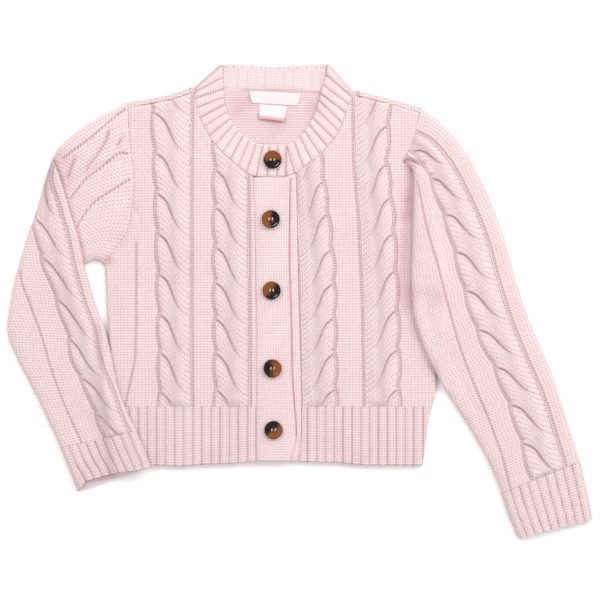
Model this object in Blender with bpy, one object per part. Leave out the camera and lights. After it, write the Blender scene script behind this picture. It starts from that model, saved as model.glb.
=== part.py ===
"""A child's cable-knit cardigan, buttoned up and laid flat on its back.

Sizes in the tables are millimetres. +X runs to the right as the front is seen,
+Y towards the neck and +Z up. The origin is on the surface that the cardigan
rests on, under the middle of its outline. "Right" and "left" in the names are
the wearer's: the right front and the right sleeve lie at -X.
"""
import math

import bpy
import numpy as np
from mathutils.geometry import delaunay_2d_cdt

MILLIMETRE = 0.001

# Layers, from the surface up
WALL = 2.5            # knitted cloth without its relief
GAP = 0.3             # air between layers that touch
SEAM_GAP = 0.4        # air between pieces sewn edge to edge
BACK_TOP = WALL
FRONT_UNDER = BACK_TOP + GAP
FRONT_TOP = FRONT_UNDER + WALL
BAND_WALL = 2.2
BAND_UNDER = FRONT_UNDER + BAND_WALL + 2 * GAP
BAND_TOP = BAND_UNDER + BAND_WALL

# Relief of the knitting on the outer side
CABLE_RISE = 3.6
CABLE_REACH = 45.0    # how far one crease runs down while it crosses the cable
CABLE_REPEAT = 41.0
STRAND_BEND = 0.6     # how sharply a crease turns downwards in mid cable
FLAT_RISE = 0.6
PURL_DROP = 0.6
PURL_OFFSET = 2.4     # from a cable's edge to the middle of its purl column
FLAT_OFFSET = 5.2     # from a cable's edge to where the flat knitting stands level
LINE_STEP = 15.0      # between the points of a relief line
RIB_RISE = 1.3
RIB_PITCH = 9.5
RIB_CREST = 0.27      # where a rib's crest begins and ends, as a part of its pitch

# Hem, on both fronts and the back
HEM_TOP_Y = -110.0
HEM_LINE = ((-188, -172), (-154, -171), (-125, -172), (-99, -170), (-68, -169), (-46, -167),
            (-2, -167), (20, -168), (37, -168), (66, -171), (127, -171))

# The body's outline, each run from its upper to its lower end
SHOULDER_RIGHT = ((-113, 223), (-138, 215), (-180, 207))
SHOULDER_LEFT = ((57.5, 219.6), (93, 211), (125, 202))
SHOULDER_ROLL = 6.2   # width of back cloth that rolls over to the front
ARMHOLE_RIGHT = ((-180, 207), (-178, 167), (-174, 121), (-179, 79), (-191, 57), (-204, 38))
ARMHOLE_LEFT = ((125, 202), (119, 174), (107, 144))
ARMHOLE_LEFT_TUCKED = ((116, 134), (125, 133), (130, 105), (135, 63), (142, 30))
SIDE_RIGHT = ((-204, 38), (-202, 1), (-200, -42), (-198, -98), (-193, -129), (-188, -172))
SIDE_LEFT = ((142, 30), (143, -20), (142, -78), (139, -103), (134, -122), (127, -171))
SIDE_ROUND = 5.0      # how far in from a side edge the cloth reaches full height
SIDE_DROP = 1.7

# The neckband, station by station round the neck: its free edge and its sewn edge.
# The first station is its upper end, which lies over the last ones.
NECKBAND = (
    # free x, free y, sewn x, sewn y
    (-15, 161, -15, 129),
    (-31, 162, -33, 129),
    (-41, 163, -49, 130),
    (-50, 166, -61, 137),
    (-60, 173, -74, 148),
    (-69, 183, -88, 161),
    (-75, 193, -98, 177),
    (-79, 207, -106, 193),
    (-80, 217, -109, 208),
    (-81, 232, -109.5, 217),
    (-81, 246, -108, 222),
    (-78, 246.5, -92, 219),
    (-70, 247, -73, 219),
    (-48, 246, -49, 221),
    (-25, 245, -26, 222),
    (0, 246, 0, 220),
    (19, 247, 19, 218),
    (26, 246.5, 40, 217),
    (28, 246, 52, 219),
    (27, 236, 54, 212),
    (24, 227, 51, 206),
    (21, 218, 48, 199),
    (19, 208, 43, 184),
    (13, 192, 36, 170),
    (3, 176, 19, 151),
    (-5, 168, 6, 141),
    (-14, 163, -5, 134),
    (-25, 160, -22, 129),
    (-38, 160, -38, 129),
)
OVER_STATION, RAMP_STATION = 1.3, 3.4     # where the upper end starts and stops coming down
RIGHT_FOLD, LEFT_FOLD = 10, 18            # the stations that lie on the shoulder folds
COVERED_STATION = 25.6                    # the lower end is plain from here on
SHOWN_BACK = (12.0, 16.0)                 # where the inside of the back shows its ribs
BACK_RIB_RISE = 0.8
FOLD_TURNS = 6

# The two bands of the closure
CLOSURE_RIGHT = ((-49.5, 129), (-47, 43), (-46, -60), (-46, -167))
CLOSURE_LEFT = ((-4, 133), (-2, 30), (1, -90), (1, -139), (-2, -167))
BAND_FREE_EDGE = ((-11, 128), (-12, 43), (-10, -30), (-9, -78), (-6, -118), (-5, -139),
                  (-9, -160), (-12, -167))
BUTTON_BAND_FREE_X = -36.0
BUTTON_BAND_TOP = ((-36, 128.3), (-22, 128.3), (-12, 130.4), (-4.6, 132.2))
BAND_SLOPE = 9.0      # width over which the upper band comes down to the front
BAND_SLOPE_DROP = 1.5
FRONT_SEAM_LIFT = 1.2 # how far the right front rises to meet it
BAND_EDGE_DROP = 0.6
BAND_RIDGES = 5       # fine upright ribs on the upper band
BAND_RIDGE_RISE = 0.5

# Cables on the fronts: y, left edge, right edge, from the top down
CABLES = {
    "right_outer": ((215, -153, -114), (115, -149, -115), (1, -146, -115), (-106, -145, -114)),
    "right_inner": ((150, -88, -56), (40, -88, -55), (-106, -87, -54)),
    "left_inner": ((165, -9, 17), (89, -4, 27), (32, -1, 33), (-106, 2, 35)),
    "left_outer": ((215, 56, 91), (147, 57, 88), (84, 62, 95), (1, 66, 99), (-106, 68, 101)),
}
# y at which each crease leaves the cable's outer edge
CREASES = {
    "right_outer": (237, 196, 154, 112, 70, 28, -14, -54, -95),
    "right_inner": (177, 136, 97, 56, 19, -19, -55, -93),
    "left_inner": (164, 124, 90, 53, 18, -18, -55, -92),
    "left_outer": (223, 182, 142, 107, 70, 31, -10, -51, -92),
}
SIDE_PURL_RIGHT = ((64, -171), (-20, -171), (-60, -172), (-100, -181))

# Sleeves, station by station towards the cuff. "left" and "right" edges are as
# seen, and the columns after them are parts of the way across from left to right.
SLEEVE_LEFT = (
    # left x, left y, right x, right y, purl, cable left, cable right
    (107.7, 144, 125.6, 202, 0.00, 0.25, 0.55),
    (117, 134, 151, 182, 0.03, 0.30, 0.62),
    (117, 105, 173, 154, 0.12, 0.38, 0.72),
    (116, 63, 194, 114, 0.20, 0.46, 0.78),
    (115, 27, 210, 72, 0.28, 0.50, 0.82),
    (118, -15, 222, 30, 0.33, 0.53, 0.83),
    (132, -57, 236, -14, 0.31, 0.53, 0.83),
    (151, -93, 252, -52, 0.27, 0.53, 0.82),
    (174, -129, 267, -90, 0.22, 0.49, 0.82),
    (194, -164, 279, -129, 0.17, 0.45, 0.81),
    (207, -194, 289, -160, 0.12, 0.40, 0.80),
    (216, -221, 297, -193, 0.12, 0.40, 0.80),
    (227, -247, 304, -227, 0.12, 0.40, 0.80),
)
# Of the right sleeve, the forearm, which lies over the upper arm at its first stations
FOREARM_RIGHT = (
    # left x, left y, right x, right y, purl, cable left, cable right
    (-258, 148, -255, 147, 0.00, 0.00, 0.30),
    (-265, 128, -250, 128, 0.00, 0.00, 0.30),
    (-271, 107, -244, 108, 0.00, 0.00, 0.60),
    (-277, 86, -238, 88, 0.00, 0.02, 0.72),
    (-284, 68, -231, 66, 0.00, 0.22, 0.78),
    (-292, 41, -225, 38, 0.03, 0.38, 0.82),
    (-297, 23, -220, 20, 0.08, 0.50, 0.84),
    (-301, 3, -213, -4, 0.20, 0.56, 0.86),
    (-305, -24, -204, -28, 0.31, 0.62, 0.88),
    (-303, -41, -199, -46, 0.34, 0.62, 0.87),
    (-292, -66, -194, -70, 0.32, 0.60, 0.88),
    (-274, -101, -188, -95, 0.29, 0.64, 0.92),
    (-258, -135, -177, -122, 0.28, 0.62, 0.90),
    (-250, -153, -170, -135, 0.28, 0.62, 0.90),
    (-241, -175, -162, -154, 0.28, 0.62, 0.90),
    (-232, -198, -155, -172, 0.28, 0.62, 0.90),
)
LEFT_CUFF_STATION, RIGHT_CUFF_STATION = 10.2, 13.0
LEFT_FIRST_CREASE, RIGHT_FIRST_CREASE = 0.3, 3.0
RIDGE_STATION = 5     # where the forearm's fold reaches the underarm
SLEEVE_REPEAT = 42.5
CUFF_RIBS = 9
# Along the right cuff, as parts of its width, how far its lower layer shows
CUFF_OPENING = ((0.0, 0.0), (0.12, 8.0), (0.45, 6.5), (0.8, 1.5), (1.0, 0.0))
CUFF_CLOSED = ((0.0, 0.0), (1.0, 0.0))
UPPER_ARM_TOP = ((-180.5, 207), (-190, 203), (-226, 182), (-249, 163))
UPPER_ARM_PURLS = (
    ((-186, 199), (-215, 176), (-243, 153)),
    ((-182, 154), (-201, 149), (-223, 130), (-238, 113)),
    ((-184, 126), (-210, 106), (-228, 85)),
)
UPPER_ARM_CREASES = (
    ((-201, 176), (-207, 162), (-213, 151)),
    ((-235, 147), (-240, 136), (-242, 124)),
)
UPPER_ARM_RISE = 2.8
UPPER_ARM_STRANDS = (-3.0, 6.0)           # beside each crease, where the cloth stands highest
UNDERARM_RIGHT = ((-225, 38), (-213, 43), (-204.6, 38.3))
FOREARM_ROLL = 4.0    # how far the forearm's fold stands over the upper arm
FOREARM_STEP = 0.6    # width of the drop from that fold to the upper arm
PLEAT_CAP = ((112, 151.5), (119, 149), (125, 145.5))   # puffed cloth over the tuck
PLEAT_VALLEY = ((110, 146), (118, 143), (126, 137.5))  # the tuck in the left armhole
PLEAT_RISE, PLEAT_DROP = 2.6, 1.4
LEFT_PURL_FROM = 1.5  # station below the tuck where the purl columns begin

# Sleeve walls: the two sides of a flattened tube
TUBE_MID = FRONT_TOP / 2
TUBE_HOLLOW = 0.4     # half the height of the hollow inside
TUBE_ROUND = 9.0      # how far in from its fold the tube reaches full height
TUBE_ROUND_UNDER = 2.6
BODY_LIFT = 7.0       # height at which a sleeve lies over the body
LIFT_STEPS = (3.4, 8.2, 13.0)             # distances beside the body where it comes down
FOLD_INSETS = (1.2, 4.0)                  # lines that round a sleeve's folds
RELIEF_MARGIN = 4.8   # from a sleeve's fold to the nearest relief
DOT_SPACE = 7.0       # nearest that a plain point comes to relief
CORNER_MARGIN = 4.5   # from a sleeve's corner to the next point of its open end
RIM_MARGIN = 1.6      # from a cuff's edge to the end of its ribs
RIGHT_LIFT_Y = (-5.0, -30.0)              # where the right sleeve climbs on to the body
LEFT_LIFT_Y = (146.0, 135.5)

# Buttons and labels
BUTTON_PLACES = ((-29, 147), (-31, 85), (-30, 11), (-29, -70), (-28, -134))
BUTTON_PROFILE = (
    # radius, height
    (8.4, 0.0), (9.3, 0.7), (9.5, 1.7), (9.2, 2.8), (8.3, 3.4), (7.2, 3.2), (6.3, 2.5),
)
BUTTON_SIDES = 28
BUTTON_HOLE_RADIUS = 0.9
BUTTON_HOLE_OFFSET = 1.8
BUTTON_HOLE_SIDES = 8
LABEL_MAIN = ((-54, 219), (1, 216), (-3, 203), (-51, 206))
LABEL_SIZE = ((-43, 204.8), (-14, 203), (-17, 187), (-43, 190))
LABEL_THICK = 0.9
LABEL_CURL = 2.6
LABEL_ROWS, LABEL_COLUMNS = 5, 6

PINK = (0.87, 0.70, 0.71)
LABEL_WHITE = (0.84, 0.78, 0.79)
TORTOISE = (0.20, 0.08, 0.03)


# ---------------------------------------------------------------- curves

def spline(rows, at):
    """Values of a smooth curve through table rows, at fractional row numbers."""
    p = np.array(rows, float)
    padded = np.vstack([2 * p[0] - p[1], p, 2 * p[-1] - p[-2]])
    at = np.clip(np.atleast_1d(at), 0, len(p) - 1)
    i = np.minimum(at.astype(int), len(p) - 2)
    t = (at - i)[:, None]
    a, b, c, d = padded[i], padded[i + 1], padded[i + 2], padded[i + 3]
    return 0.5 * (2 * b + (c - a) * t + (2 * a - 5 * b + 4 * c - d) * t ** 2
                  + (3 * b - a - 3 * c + d) * t ** 3)


def evenly(line, spacing):
    """A polyline with its points at even distances, its ends kept."""
    line = np.array(line, float)
    along = np.r_[0, np.cumsum(np.linalg.norm(np.diff(line, axis=0), axis=1))]
    marks = np.linspace(0, along[-1], max(1, round(along[-1] / spacing)) + 1)
    return np.column_stack([np.interp(marks, along, axis) for axis in line.T])


def smooth(points, spacing):
    """A smooth curve through a few points, with its points at even distances."""
    if len(points) == 2:
        return evenly(points, spacing)
    return evenly(spline(points, np.linspace(0, len(points) - 1, 14 * len(points))), spacing)


def x_at(table, y, column=1):
    """x of a column at any y, from rows that start with y."""
    rows = np.array(sorted(table), float)
    return float(np.interp(y, rows[:, 0], rows[:, column]))


def hem_y(x):
    line = np.array(HEM_LINE, float)
    return float(np.interp(x, line[:, 0], line[:, 1]))


def smoothstep(t):
    t = np.clip(t, 0, 1)
    return t * t * (3 - 2 * t)


def rounding(distance, radius):
    """0 on an edge, rising to 1 at the radius, as a quarter circle does."""
    t = 1 - np.clip(np.asarray(distance) / radius, 0, 1)
    return np.sqrt(1 - t * t)


def distance_to(line, points):
    """Distance of each plan point from a polyline."""
    line = np.asarray(line, float)
    points = np.atleast_2d(points)[:, None, :2]
    a, run = line[:-1, :2], np.diff(line[:, :2], axis=0)
    t = ((points - a) * run).sum(2) / np.maximum((run ** 2).sum(1), 1e-12)
    nearest = a + np.clip(t, 0, 1)[..., None] * run
    return np.sqrt(((points - nearest) ** 2).sum(2)).min(1)


def inside(loop, points):
    """Whether each plan point lies within a closed loop."""
    points = np.atleast_2d(points)
    x, y = points[:, None, 0], points[:, None, 1]
    ax, ay = loop[:, 0], loop[:, 1]
    bx, by = np.roll(ax, -1), np.roll(ay, -1)
    rise = np.where(np.abs(by - ay) < 1e-9, 1e-9, by - ay)
    crosses = ((ay > y) != (by > y)) & (x < ax + (y - ay) * (bx - ax) / rise)
    return crosses.sum(1) % 2 == 1


def closed(loop):
    return np.vstack([loop, loop[:1]])


def beside(line, distance):
    """A polyline moved to the left of its own direction."""
    line = np.asarray(line, float)[:, :2]
    run = np.gradient(line, axis=0)
    run /= np.linalg.norm(run, axis=1)[:, None]
    return line + np.column_stack([-run[:, 1], run[:, 0]]) * distance


def level(line, height):
    """Rows of x, y and one height."""
    return [(x, y, height) for x, y in np.asarray(line, float)[:, :2]]


# ---------------------------------------------------------------- relief

def crease_drop(across):
    """How far down a crease has run when it is part of the way across a cable."""
    u = 2 * across - 1
    return CABLE_REACH / 2 * (1 + np.sign(u) * np.abs(u) ** STRAND_BEND)


def cable_height(across, along):
    """Height of a strand. along is 0 just below one crease and 1 just above the next,
    where the strand lies over the one that comes out from under it."""
    cross = (1 - abs(2 * across - 1) ** 2.6) ** 0.5
    depth = 1 - 0.88 * smoothstep((across - 0.15) / 0.6)
    coming_out = 0.85 * depth * (1 - min(along / 0.5, 1)) ** 2
    tucked_end = 0.30 * depth * max((along - 0.85) / 0.15, 0) ** 2
    return CABLE_RISE * cross * (1 - coming_out - tucked_end)


STRAND_ACROSS = (0.05, 0.2, 0.36, 0.47, 0.56, 0.7, 0.95)
STRAND_ALONG = (0.03, 0.3, 0.62, 0.97)


def cable_lines(place, starts, repeats):
    """Relief lines of a cable. Every line is a crease's own curve, moved further down;
    place gives the plan point for a start, a part of the way across and a drop, with
    what a fold of the cloth adds there, or nothing beyond the cable's ends."""
    lines = []
    for start, repeat in zip(starts, repeats):
        for along in STRAND_ALONG:
            line = []
            for across in STRAND_ACROSS:
                point = place(start, across, crease_drop(across) + along * repeat)
                if point:
                    x, y, extra = (*point, 0.0)[:3]
                    line.append((x, y, cable_height(across, along) + extra))
            if line:
                lines.append(line)
    return lines


def ribs_across(count):
    """Places, as parts of the way across, and heights of a ribbing's lines."""
    columns = []
    for rib in range(count):
        if rib:
            columns.append((rib / count, 0.0))
        columns.append(((rib + RIB_CREST) / count, RIB_RISE))
        columns.append(((rib + 1 - RIB_CREST) / count, RIB_RISE))
    return columns


def hem_columns(x_first, x_last):
    count = round((x_last - x_first) / RIB_PITCH)
    return [(x_first + part * (x_last - x_first), h) for part, h in ribs_across(count)]


# ---------------------------------------------------------------- solids

def material(name, colour, roughness):
    finish = bpy.data.materials.new(name)
    finish.use_nodes = True
    shader = finish.node_tree.nodes["Principled BSDF"]
    shader.inputs["Base Color"].default_value = (*colour, 1.0)
    shader.inputs["Roughness"].default_value = roughness
    shader.inputs["Metallic"].default_value = 0.0
    return finish


def add_object(name, points, faces, colour=PINK, roughness=0.9, smooth_angle=50):
    """A named solid from points in millimetres, its faces turned outwards."""
    p = np.array(points, float)
    volume = sum(np.dot(p[f[0]], np.cross(p[f[k]], p[f[k + 1]]))
                 for f in faces for k in range(1, len(f) - 1))
    if volume < 0:
        faces = [tuple(reversed(face)) for face in faces]
    mesh = bpy.data.meshes.new(name)
    mesh.from_pydata((p * MILLIMETRE).tolist(), [], faces)
    mesh.materials.append(material(name + "_finish", colour, roughness))
    mesh.shade_smooth()
    mesh.set_sharp_from_angle(angle=math.radians(smooth_angle))
    solid = bpy.data.objects.new(name, mesh)
    bpy.context.scene.collection.objects.link(solid)
    return solid


def counter_clockwise(loop):
    x, y = loop[:, 0], loop[:, 1]
    return (x * np.roll(y, -1) - np.roll(x, -1) * y).sum() > 0


def kept_runs(loop, lines, margin):
    """The runs of each relief line that stay inside the loop by a margin."""
    runs = []
    for line in lines:
        line = np.array(line, float)
        fits = inside(loop, line) & (distance_to(closed(loop), line) > margin)
        run = []
        for point, fit in zip(line, fits):
            if fit:
                run.append(point)
            if run and not fit:
                runs.append(run)
                run = []
        if run:
            runs.append(run)
    return runs


def triangles(loop, runs):
    """Triangles that fill the loop and hold every run of points as edges."""
    flat = [tuple(p[:2]) for p in loop]
    edges = []
    for run in runs:
        start = len(flat)
        flat.extend(tuple(p[:2]) for p in run)
        edges.extend((start + i, start + i + 1) for i in range(len(run) - 1))
    filled = delaunay_2d_cdt(flat, edges, [list(range(len(loop)))], 1, 1e-4)
    origin = [ids[0] if ids else None for ids in filled[3]]
    crossing = [tuple(filled[0][i]) for i, o in enumerate(origin) if o is None]
    assert not crossing, f"relief lines cross at {crossing[:3]}"
    return [tuple(origin[i] for i in face) for face in filled[2]]


def surface(loop, loop_z, runs, height):
    """Points and triangles of one side of a sheet: its loop, then its runs."""
    points = [(x, y, z) for (x, y), z in zip(loop, loop_z)]
    points += [(x, y, height(x, y, h)) for run in runs for x, y, h in run]
    return points, triangles(loop, runs)


def add_panel(name, outline, lines, under_lines, under, top, margin=1.3):
    """A flat panel with relief lines on top and a plain underside.

    outline rows are x, y and a height over the plain top; under and top give the
    plain underside and top at a plan point, and under_lines shape the underside."""
    outline = np.array(outline, float)
    plan = outline[:, :2]
    runs = kept_runs(plan, lines, margin)
    upper, upper_faces = surface(plan, [top(x, y) + h for x, y, h in outline], runs,
                                 lambda x, y, h: top(x, y) + h)
    lower, lower_faces = surface(plan, [under(x, y) for x, y in plan],
                                 kept_runs(plan, under_lines, margin),
                                 lambda x, y, h: under(x, y))
    shift, count = len(upper), len(plan)
    faces = upper_faces + [tuple(shift + i for i in reversed(f)) for f in lower_faces]
    for i in range(count):
        j = (i + 1) % count
        faces += [(shift + i, shift + j, j), (shift + i, j, i)]
    return add_object(name, upper + lower, faces)


def inner_outline(plan, fold, open_run):
    """A sleeve's outline moved in by its wall at the folds and at the corners."""
    count = len(plan)
    inner = plan.copy()
    moved = beside(np.vstack([plan[-1:], plan, plan[:1]]), WALL)[1:-1]
    for i in range(count):
        before, after = (i - 1) % count, (i + 1) % count
        if not fold[i]:
            continue
        if open_run[i] or open_run[before]:
            step = plan[after if open_run[i] else before] - plan[i]
            inner[i] = plan[i] + step * (WALL / np.linalg.norm(step))
        else:
            inner[i] = moved[i]
    return inner


def joined(sheets, fold, open_run):
    """One closed solid from a sleeve's four sheets: outer top and underside, then the
    ceiling and floor of its hollow. Folds are shared; open ends get a rim."""
    points, number, faces = [], [], []
    for k, (own, own_faces) in enumerate(sheets):
        ids = []
        for i, point in enumerate(own):
            shared = k % 2 == 1 and i < len(fold) and fold[i]
            ids.append(number[k - 1][i] if shared else len(points))
            if not shared:
                points.append(point)
        number.append(ids)
        for face in own_faces:
            corners = tuple(ids[i] for i in face)
            faces.append(corners[::-1] if k in (1, 2) else corners)
    top, under, ceiling, floor = number
    for i in range(len(fold)):
        j = (i + 1) % len(fold)
        if open_run[i]:
            for low, high in ((ceiling, top), (under, floor)):
                faces.append((low[i], low[j], high[j]))
                faces.append((low[i], high[j], high[i]))
    return points, faces


def add_sleeve(name, sections, lines, dots, lift):
    """A flattened tube, open at both ends.

    sections run round it counter-clockwise; each is its plan points, whether they
    are a fold, the relief height at each, and how far the upper wall's end is moved
    along y there. lift is the height that the tube is raised by at a plan point."""
    plan, fold, open_run, relief, shift = [], [], [], [], []
    for points, is_fold, heights, moves in sections:
        for k in range(len(points) - 1):
            plan.append(points[k])
            fold.append(is_fold or k == 0)
            open_run.append(not is_fold)
            relief.append(heights[k])
            shift.append((0.0, moves[k]))
    plan, fold = np.array(plan, float)[:, :2], np.array(fold)
    shift = np.where(fold[:, None], 0.0, np.array(shift))
    folds = [points for points, is_fold, heights, moves in sections if is_fold]
    inner = inner_outline(plan, fold, open_run)

    def from_fold(x, y):
        return min(distance_to(line, [(x, y)])[0] for line in folds)

    def outer_top(x, y, h):
        full = rounding(from_fold(x, y), TUBE_ROUND)
        return lift(x, y) + TUBE_MID + (FRONT_TOP - TUBE_MID + h) * full

    def outer_under(x, y, h=0.0):
        full = rounding(from_fold(x, y), TUBE_ROUND_UNDER)
        return lift(x, y) + TUBE_MID * (1 - full)

    def hollow(side):
        return lambda x, y, h=0.0: lift(x, y) + TUBE_MID + side * TUBE_HOLLOW

    def sheet(loop, heights, runs, height):
        rim = [lift(*p) + TUBE_MID if f else height(*p, h) for p, f, h in
               zip(loop, fold, heights)]
        return surface(loop, rim, runs, height)

    tops, inner_tops = plan + shift, inner + shift
    level_rim = np.zeros(len(plan))
    insets = [[p for p in level(beside(line, inset), 0) if from_fold(*p[:2]) > inset - 0.1]
              for line in folds for inset in FOLD_INSETS]
    under_insets = [[p for p in level(beside(line, TUBE_ROUND_UNDER), 0)
                     if from_fold(*p[:2]) > TUBE_ROUND_UNDER - 0.1] for line in folds]
    inner_lines = [[p for p in line if from_fold(*p[:2]) > RELIEF_MARGIN] for line in lines]
    runs = kept_runs(tops, insets, 1.0) + kept_runs(tops, [r for r in inner_lines if r], 1.0)
    runs += kept_dots(tops, dots, runs, 0.8, DOT_SPACE)
    under_runs = kept_runs(plan, under_insets, 1.0)
    under_runs += kept_dots(plan, dots, under_runs, 0.8, 2.2)
    sheets = [
        sheet(tops, relief, runs, outer_top),
        sheet(plan, level_rim, under_runs, outer_under),
        sheet(inner_tops, level_rim, kept_dots(inner_tops, dots, [], 1.2, 2.2), hollow(1)),
        sheet(inner, level_rim, kept_dots(inner, dots, [], 1.2, 2.2), hollow(-1)),
    ]
    return add_object(name, *joined(sheets, fold, open_run))


def kept_dots(loop, dots, runs, margin, apart):
    """Single points inside the loop that are not on top of a relief line's points."""
    kept = [p[:2] for run in runs for p in run]
    own = []
    for run in kept_runs(loop, [[dot] for dot in dots], margin):
        dot = run[0]
        if not kept or np.hypot(*(np.array(kept) - dot[:2]).T).min() >= apart:
            kept.append(dot[:2])
            own.append([dot])
    return own


# ---------------------------------------------------------------- the body

def strip_rail(first, last, spacing, free=False):
    """The neckband's sewn edge, or its free edge, between two stations of the strip
    between two folds."""
    columns = slice(0, 2) if free else slice(2, 4)
    stations = np.linspace(first, last, 80)
    return evenly(neck_rows(stations)[:, columns], spacing)


def neck_rows(stations):
    """The neckband's edges at stations of one strip: the fold lines bound the strips."""
    middle = float(np.mean(stations))
    bounds = (0, RIGHT_FOLD, LEFT_FOLD, len(NECKBAND) - 1)
    strip = int(np.searchsorted(bounds, middle)) - 1
    first, last = bounds[strip], bounds[strip + 1]
    return spline(NECKBAND[first:last + 1], np.asarray(stations) - first)


def below_y(line, y):
    return np.array([p for p in line if p[1] < y])


def back_outline():
    """The back's outline, counter-clockwise from the left end of its hem."""
    runs = (
        evenly(HEM_LINE, 8),
        smooth(SIDE_LEFT, 8)[::-1][1:],
        smooth(ARMHOLE_LEFT_TUCKED, 6)[::-1][1:],
        smooth(ARMHOLE_LEFT, 6)[::-1],
        smooth(SHOULDER_LEFT, 8)[::-1][1:],
        beside(strip_rail(LEFT_FOLD - 0.05, RIGHT_FOLD + 0.05, 7), SEAM_GAP),
        smooth(SHOULDER_RIGHT, 8),
        smooth(ARMHOLE_RIGHT, 6)[1:],
        smooth(SIDE_RIGHT, 8)[1:-1],
    )
    return np.vstack(runs)


BACK = back_outline()


def build_back():
    """Plain on both sides, with its outer side down; at the shoulders it rolls over
    to the front."""
    shoulders = (smooth(SHOULDER_RIGHT, 8)[1:], smooth(SHOULDER_LEFT, 8)[:0:-1])
    rolled = SHOULDER_ROLL - 1.2

    def top(x, y):
        away = min(distance_to(line, [(x, y)])[0] for line in shoulders)
        if away > rolled + 0.1:
            return BACK_TOP
        return BACK_TOP + (FRONT_TOP - BACK_TOP) * (0.45 + 0.55 * rounding(away, 1.6))

    lines = [level(beside(shoulder, inset), 0) for shoulder in shoulders
             for inset in (1.6, rolled, rolled + 0.7)]
    return add_panel("back", level(BACK, 0), lines, [], lambda x, y: 0.0, top, 0.9)


def column_lines(place, ys, low_y):
    """A purl column between two flat ones; place gives x at a y and an offset."""
    return [[(place(y, offset), y, height) for y in ys if y > low_y]
            for offset, height in ((-3.0, FLAT_RISE), (0.0, -PURL_DROP), (3.0, FLAT_RISE))]


def front_lines(cables, mirrored):
    """Relief lines of a front: its cables, and the purl and flat columns beside them."""
    lines = []
    low = HEM_TOP_Y + 4
    for cable in cables:
        rows, starts = CABLES[cable], CREASES[cable]
        repeats = [a - b for a, b in zip(starts, starts[1:])] + [CABLE_REPEAT]

        def place(start, across, drop):
            y = start - drop
            left, right = x_at(rows, y, 1), x_at(rows, y, 2)
            part = 1 - across if mirrored else across
            return (left + part * (right - left), y) if low < y < rows[0][0] else None

        lines += cable_lines(place, starts, repeats)
        ys = np.arange(low, rows[0][0], LINE_STEP)
        for column, side in ((1, -1), (2, 1)):
            for offset, height in ((PURL_OFFSET, -PURL_DROP), (FLAT_OFFSET, FLAT_RISE)):
                lines.append([(x_at(rows, y, column) + side * offset, y, height) for y in ys])
    return lines


def hem_lines(columns):
    """Ribs from the top of the hem to just inside its lower edge."""
    return [[(x, y, h * 0.8 if y == HEM_TOP_Y else h)
             for y in (HEM_TOP_Y, (HEM_TOP_Y + hem_y(x)) / 2, hem_y(x) + 1.6)]
            for x, h in columns]


def build_front(name, runs, side, lines, columns, edge_lift):
    """A front with its hem. columns are the hem's rib lines; runs are the rest of the
    outline, counter-clockwise from the hem."""
    outline = [(x, hem_y(x), h * 0.7) for x, h in columns]
    outline += [(x, y, 0.0) for run in runs for x, y in run]
    above_hem = [p for p in evenly(side, 9) if p[1] > HEM_TOP_Y + 4]
    lines = lines + hem_lines(columns[1:-1])
    lines += [level(beside(above_hem, inset), 0) for inset in (1.5, SIDE_ROUND)]

    def plain_top(x, y):
        away = distance_to(side, [(x, y)])[0]
        return FRONT_TOP + edge_lift(x) - SIDE_DROP * (1 - rounding(away, SIDE_ROUND))

    bends = [[(CLOSURE_RIGHT[0][0] - part * BAND_SLOPE, y, 0.0) for y in
              np.arange(-162, 126, 16)] for part in (0.35, 0.7, 1.0)]
    return add_panel(name, outline, lines, bends if edge_lift(CLOSURE_RIGHT[0][0]) else [],
                     lambda x, y: FRONT_UNDER + edge_lift(x), plain_top)


def right_front_lift(x):
    start = CLOSURE_RIGHT[0][0] - BAND_SLOPE
    return FRONT_SEAM_LIFT * float(smoothstep((x - start) / BAND_SLOPE))


def build_fronts():
    drop = SHOULDER_ROLL + GAP
    shoulder = beside(smooth(SHOULDER_RIGHT, 8), drop)
    side = smooth(SIDE_RIGHT, 8)
    closure = smooth(CLOSURE_RIGHT, 12)
    lines = front_lines(("right_outer", "right_inner"), False)
    purl_ys = np.arange(HEM_TOP_Y + 4, SIDE_PURL_RIGHT[0][0], LINE_STEP)
    lines += column_lines(lambda y, offset: x_at(SIDE_PURL_RIGHT, y) + offset, purl_ys, -400)
    build_front(
        "front_right",
        (closure[::-1][1:-1],
         beside(strip_rail(2.0, 9.0, 5), SEAM_GAP),
         shoulder[1:],
         below_y(smooth(ARMHOLE_RIGHT, 6), shoulder[-1][1] - 0.5),
         side[1:-1]),
        side, lines,
        [(side[-1][0], 0.0)] + hem_columns(side[-1][0], closure[-1][0])
        + [(closure[-1][0], 0.0)],
        right_front_lift)

    shoulder = beside(smooth(SHOULDER_LEFT, 8)[::-1], drop)
    side = smooth(SIDE_LEFT, 8)[::-1]
    closure = smooth(CLOSURE_LEFT, 12)
    build_front(
        "front_left",
        (side[1:],
         smooth(ARMHOLE_LEFT_TUCKED, 6)[::-1][1:],
         below_y(smooth(ARMHOLE_LEFT, 6), shoulder[0][1] - 0.5)[::-1],
         shoulder[:-1],
         beside(strip_rail(19.0, 25.95, 5), SEAM_GAP),
         closure[:-1]),
        side, front_lines(("left_inner", "left_outer"), True),
        [(closure[-1][0], 0.0)] + hem_columns(closure[-1][0], side[0][0])
        + [(side[0][0], 0.0)],
        lambda x: 0.0)


# ---------------------------------------------------------------- the bands

def rib_stations(first, last):
    """Stations and rib heights along one strip of the neckband."""
    stations = np.linspace(first, last, 240)
    rows = neck_rows(stations)
    middle = (rows[:, :2] + rows[:, 2:]) / 2
    lengths = np.r_[0, np.cumsum(np.linalg.norm(np.diff(middle, axis=0), axis=1))]
    columns = [(0.0, 0.0)] + ribs_across(round(lengths[-1] / RIB_PITCH)) + [(1.0, 0.0)]
    return [(float(np.interp(part * lengths[-1], lengths, stations)), h)
            for part, h in columns]


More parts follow.
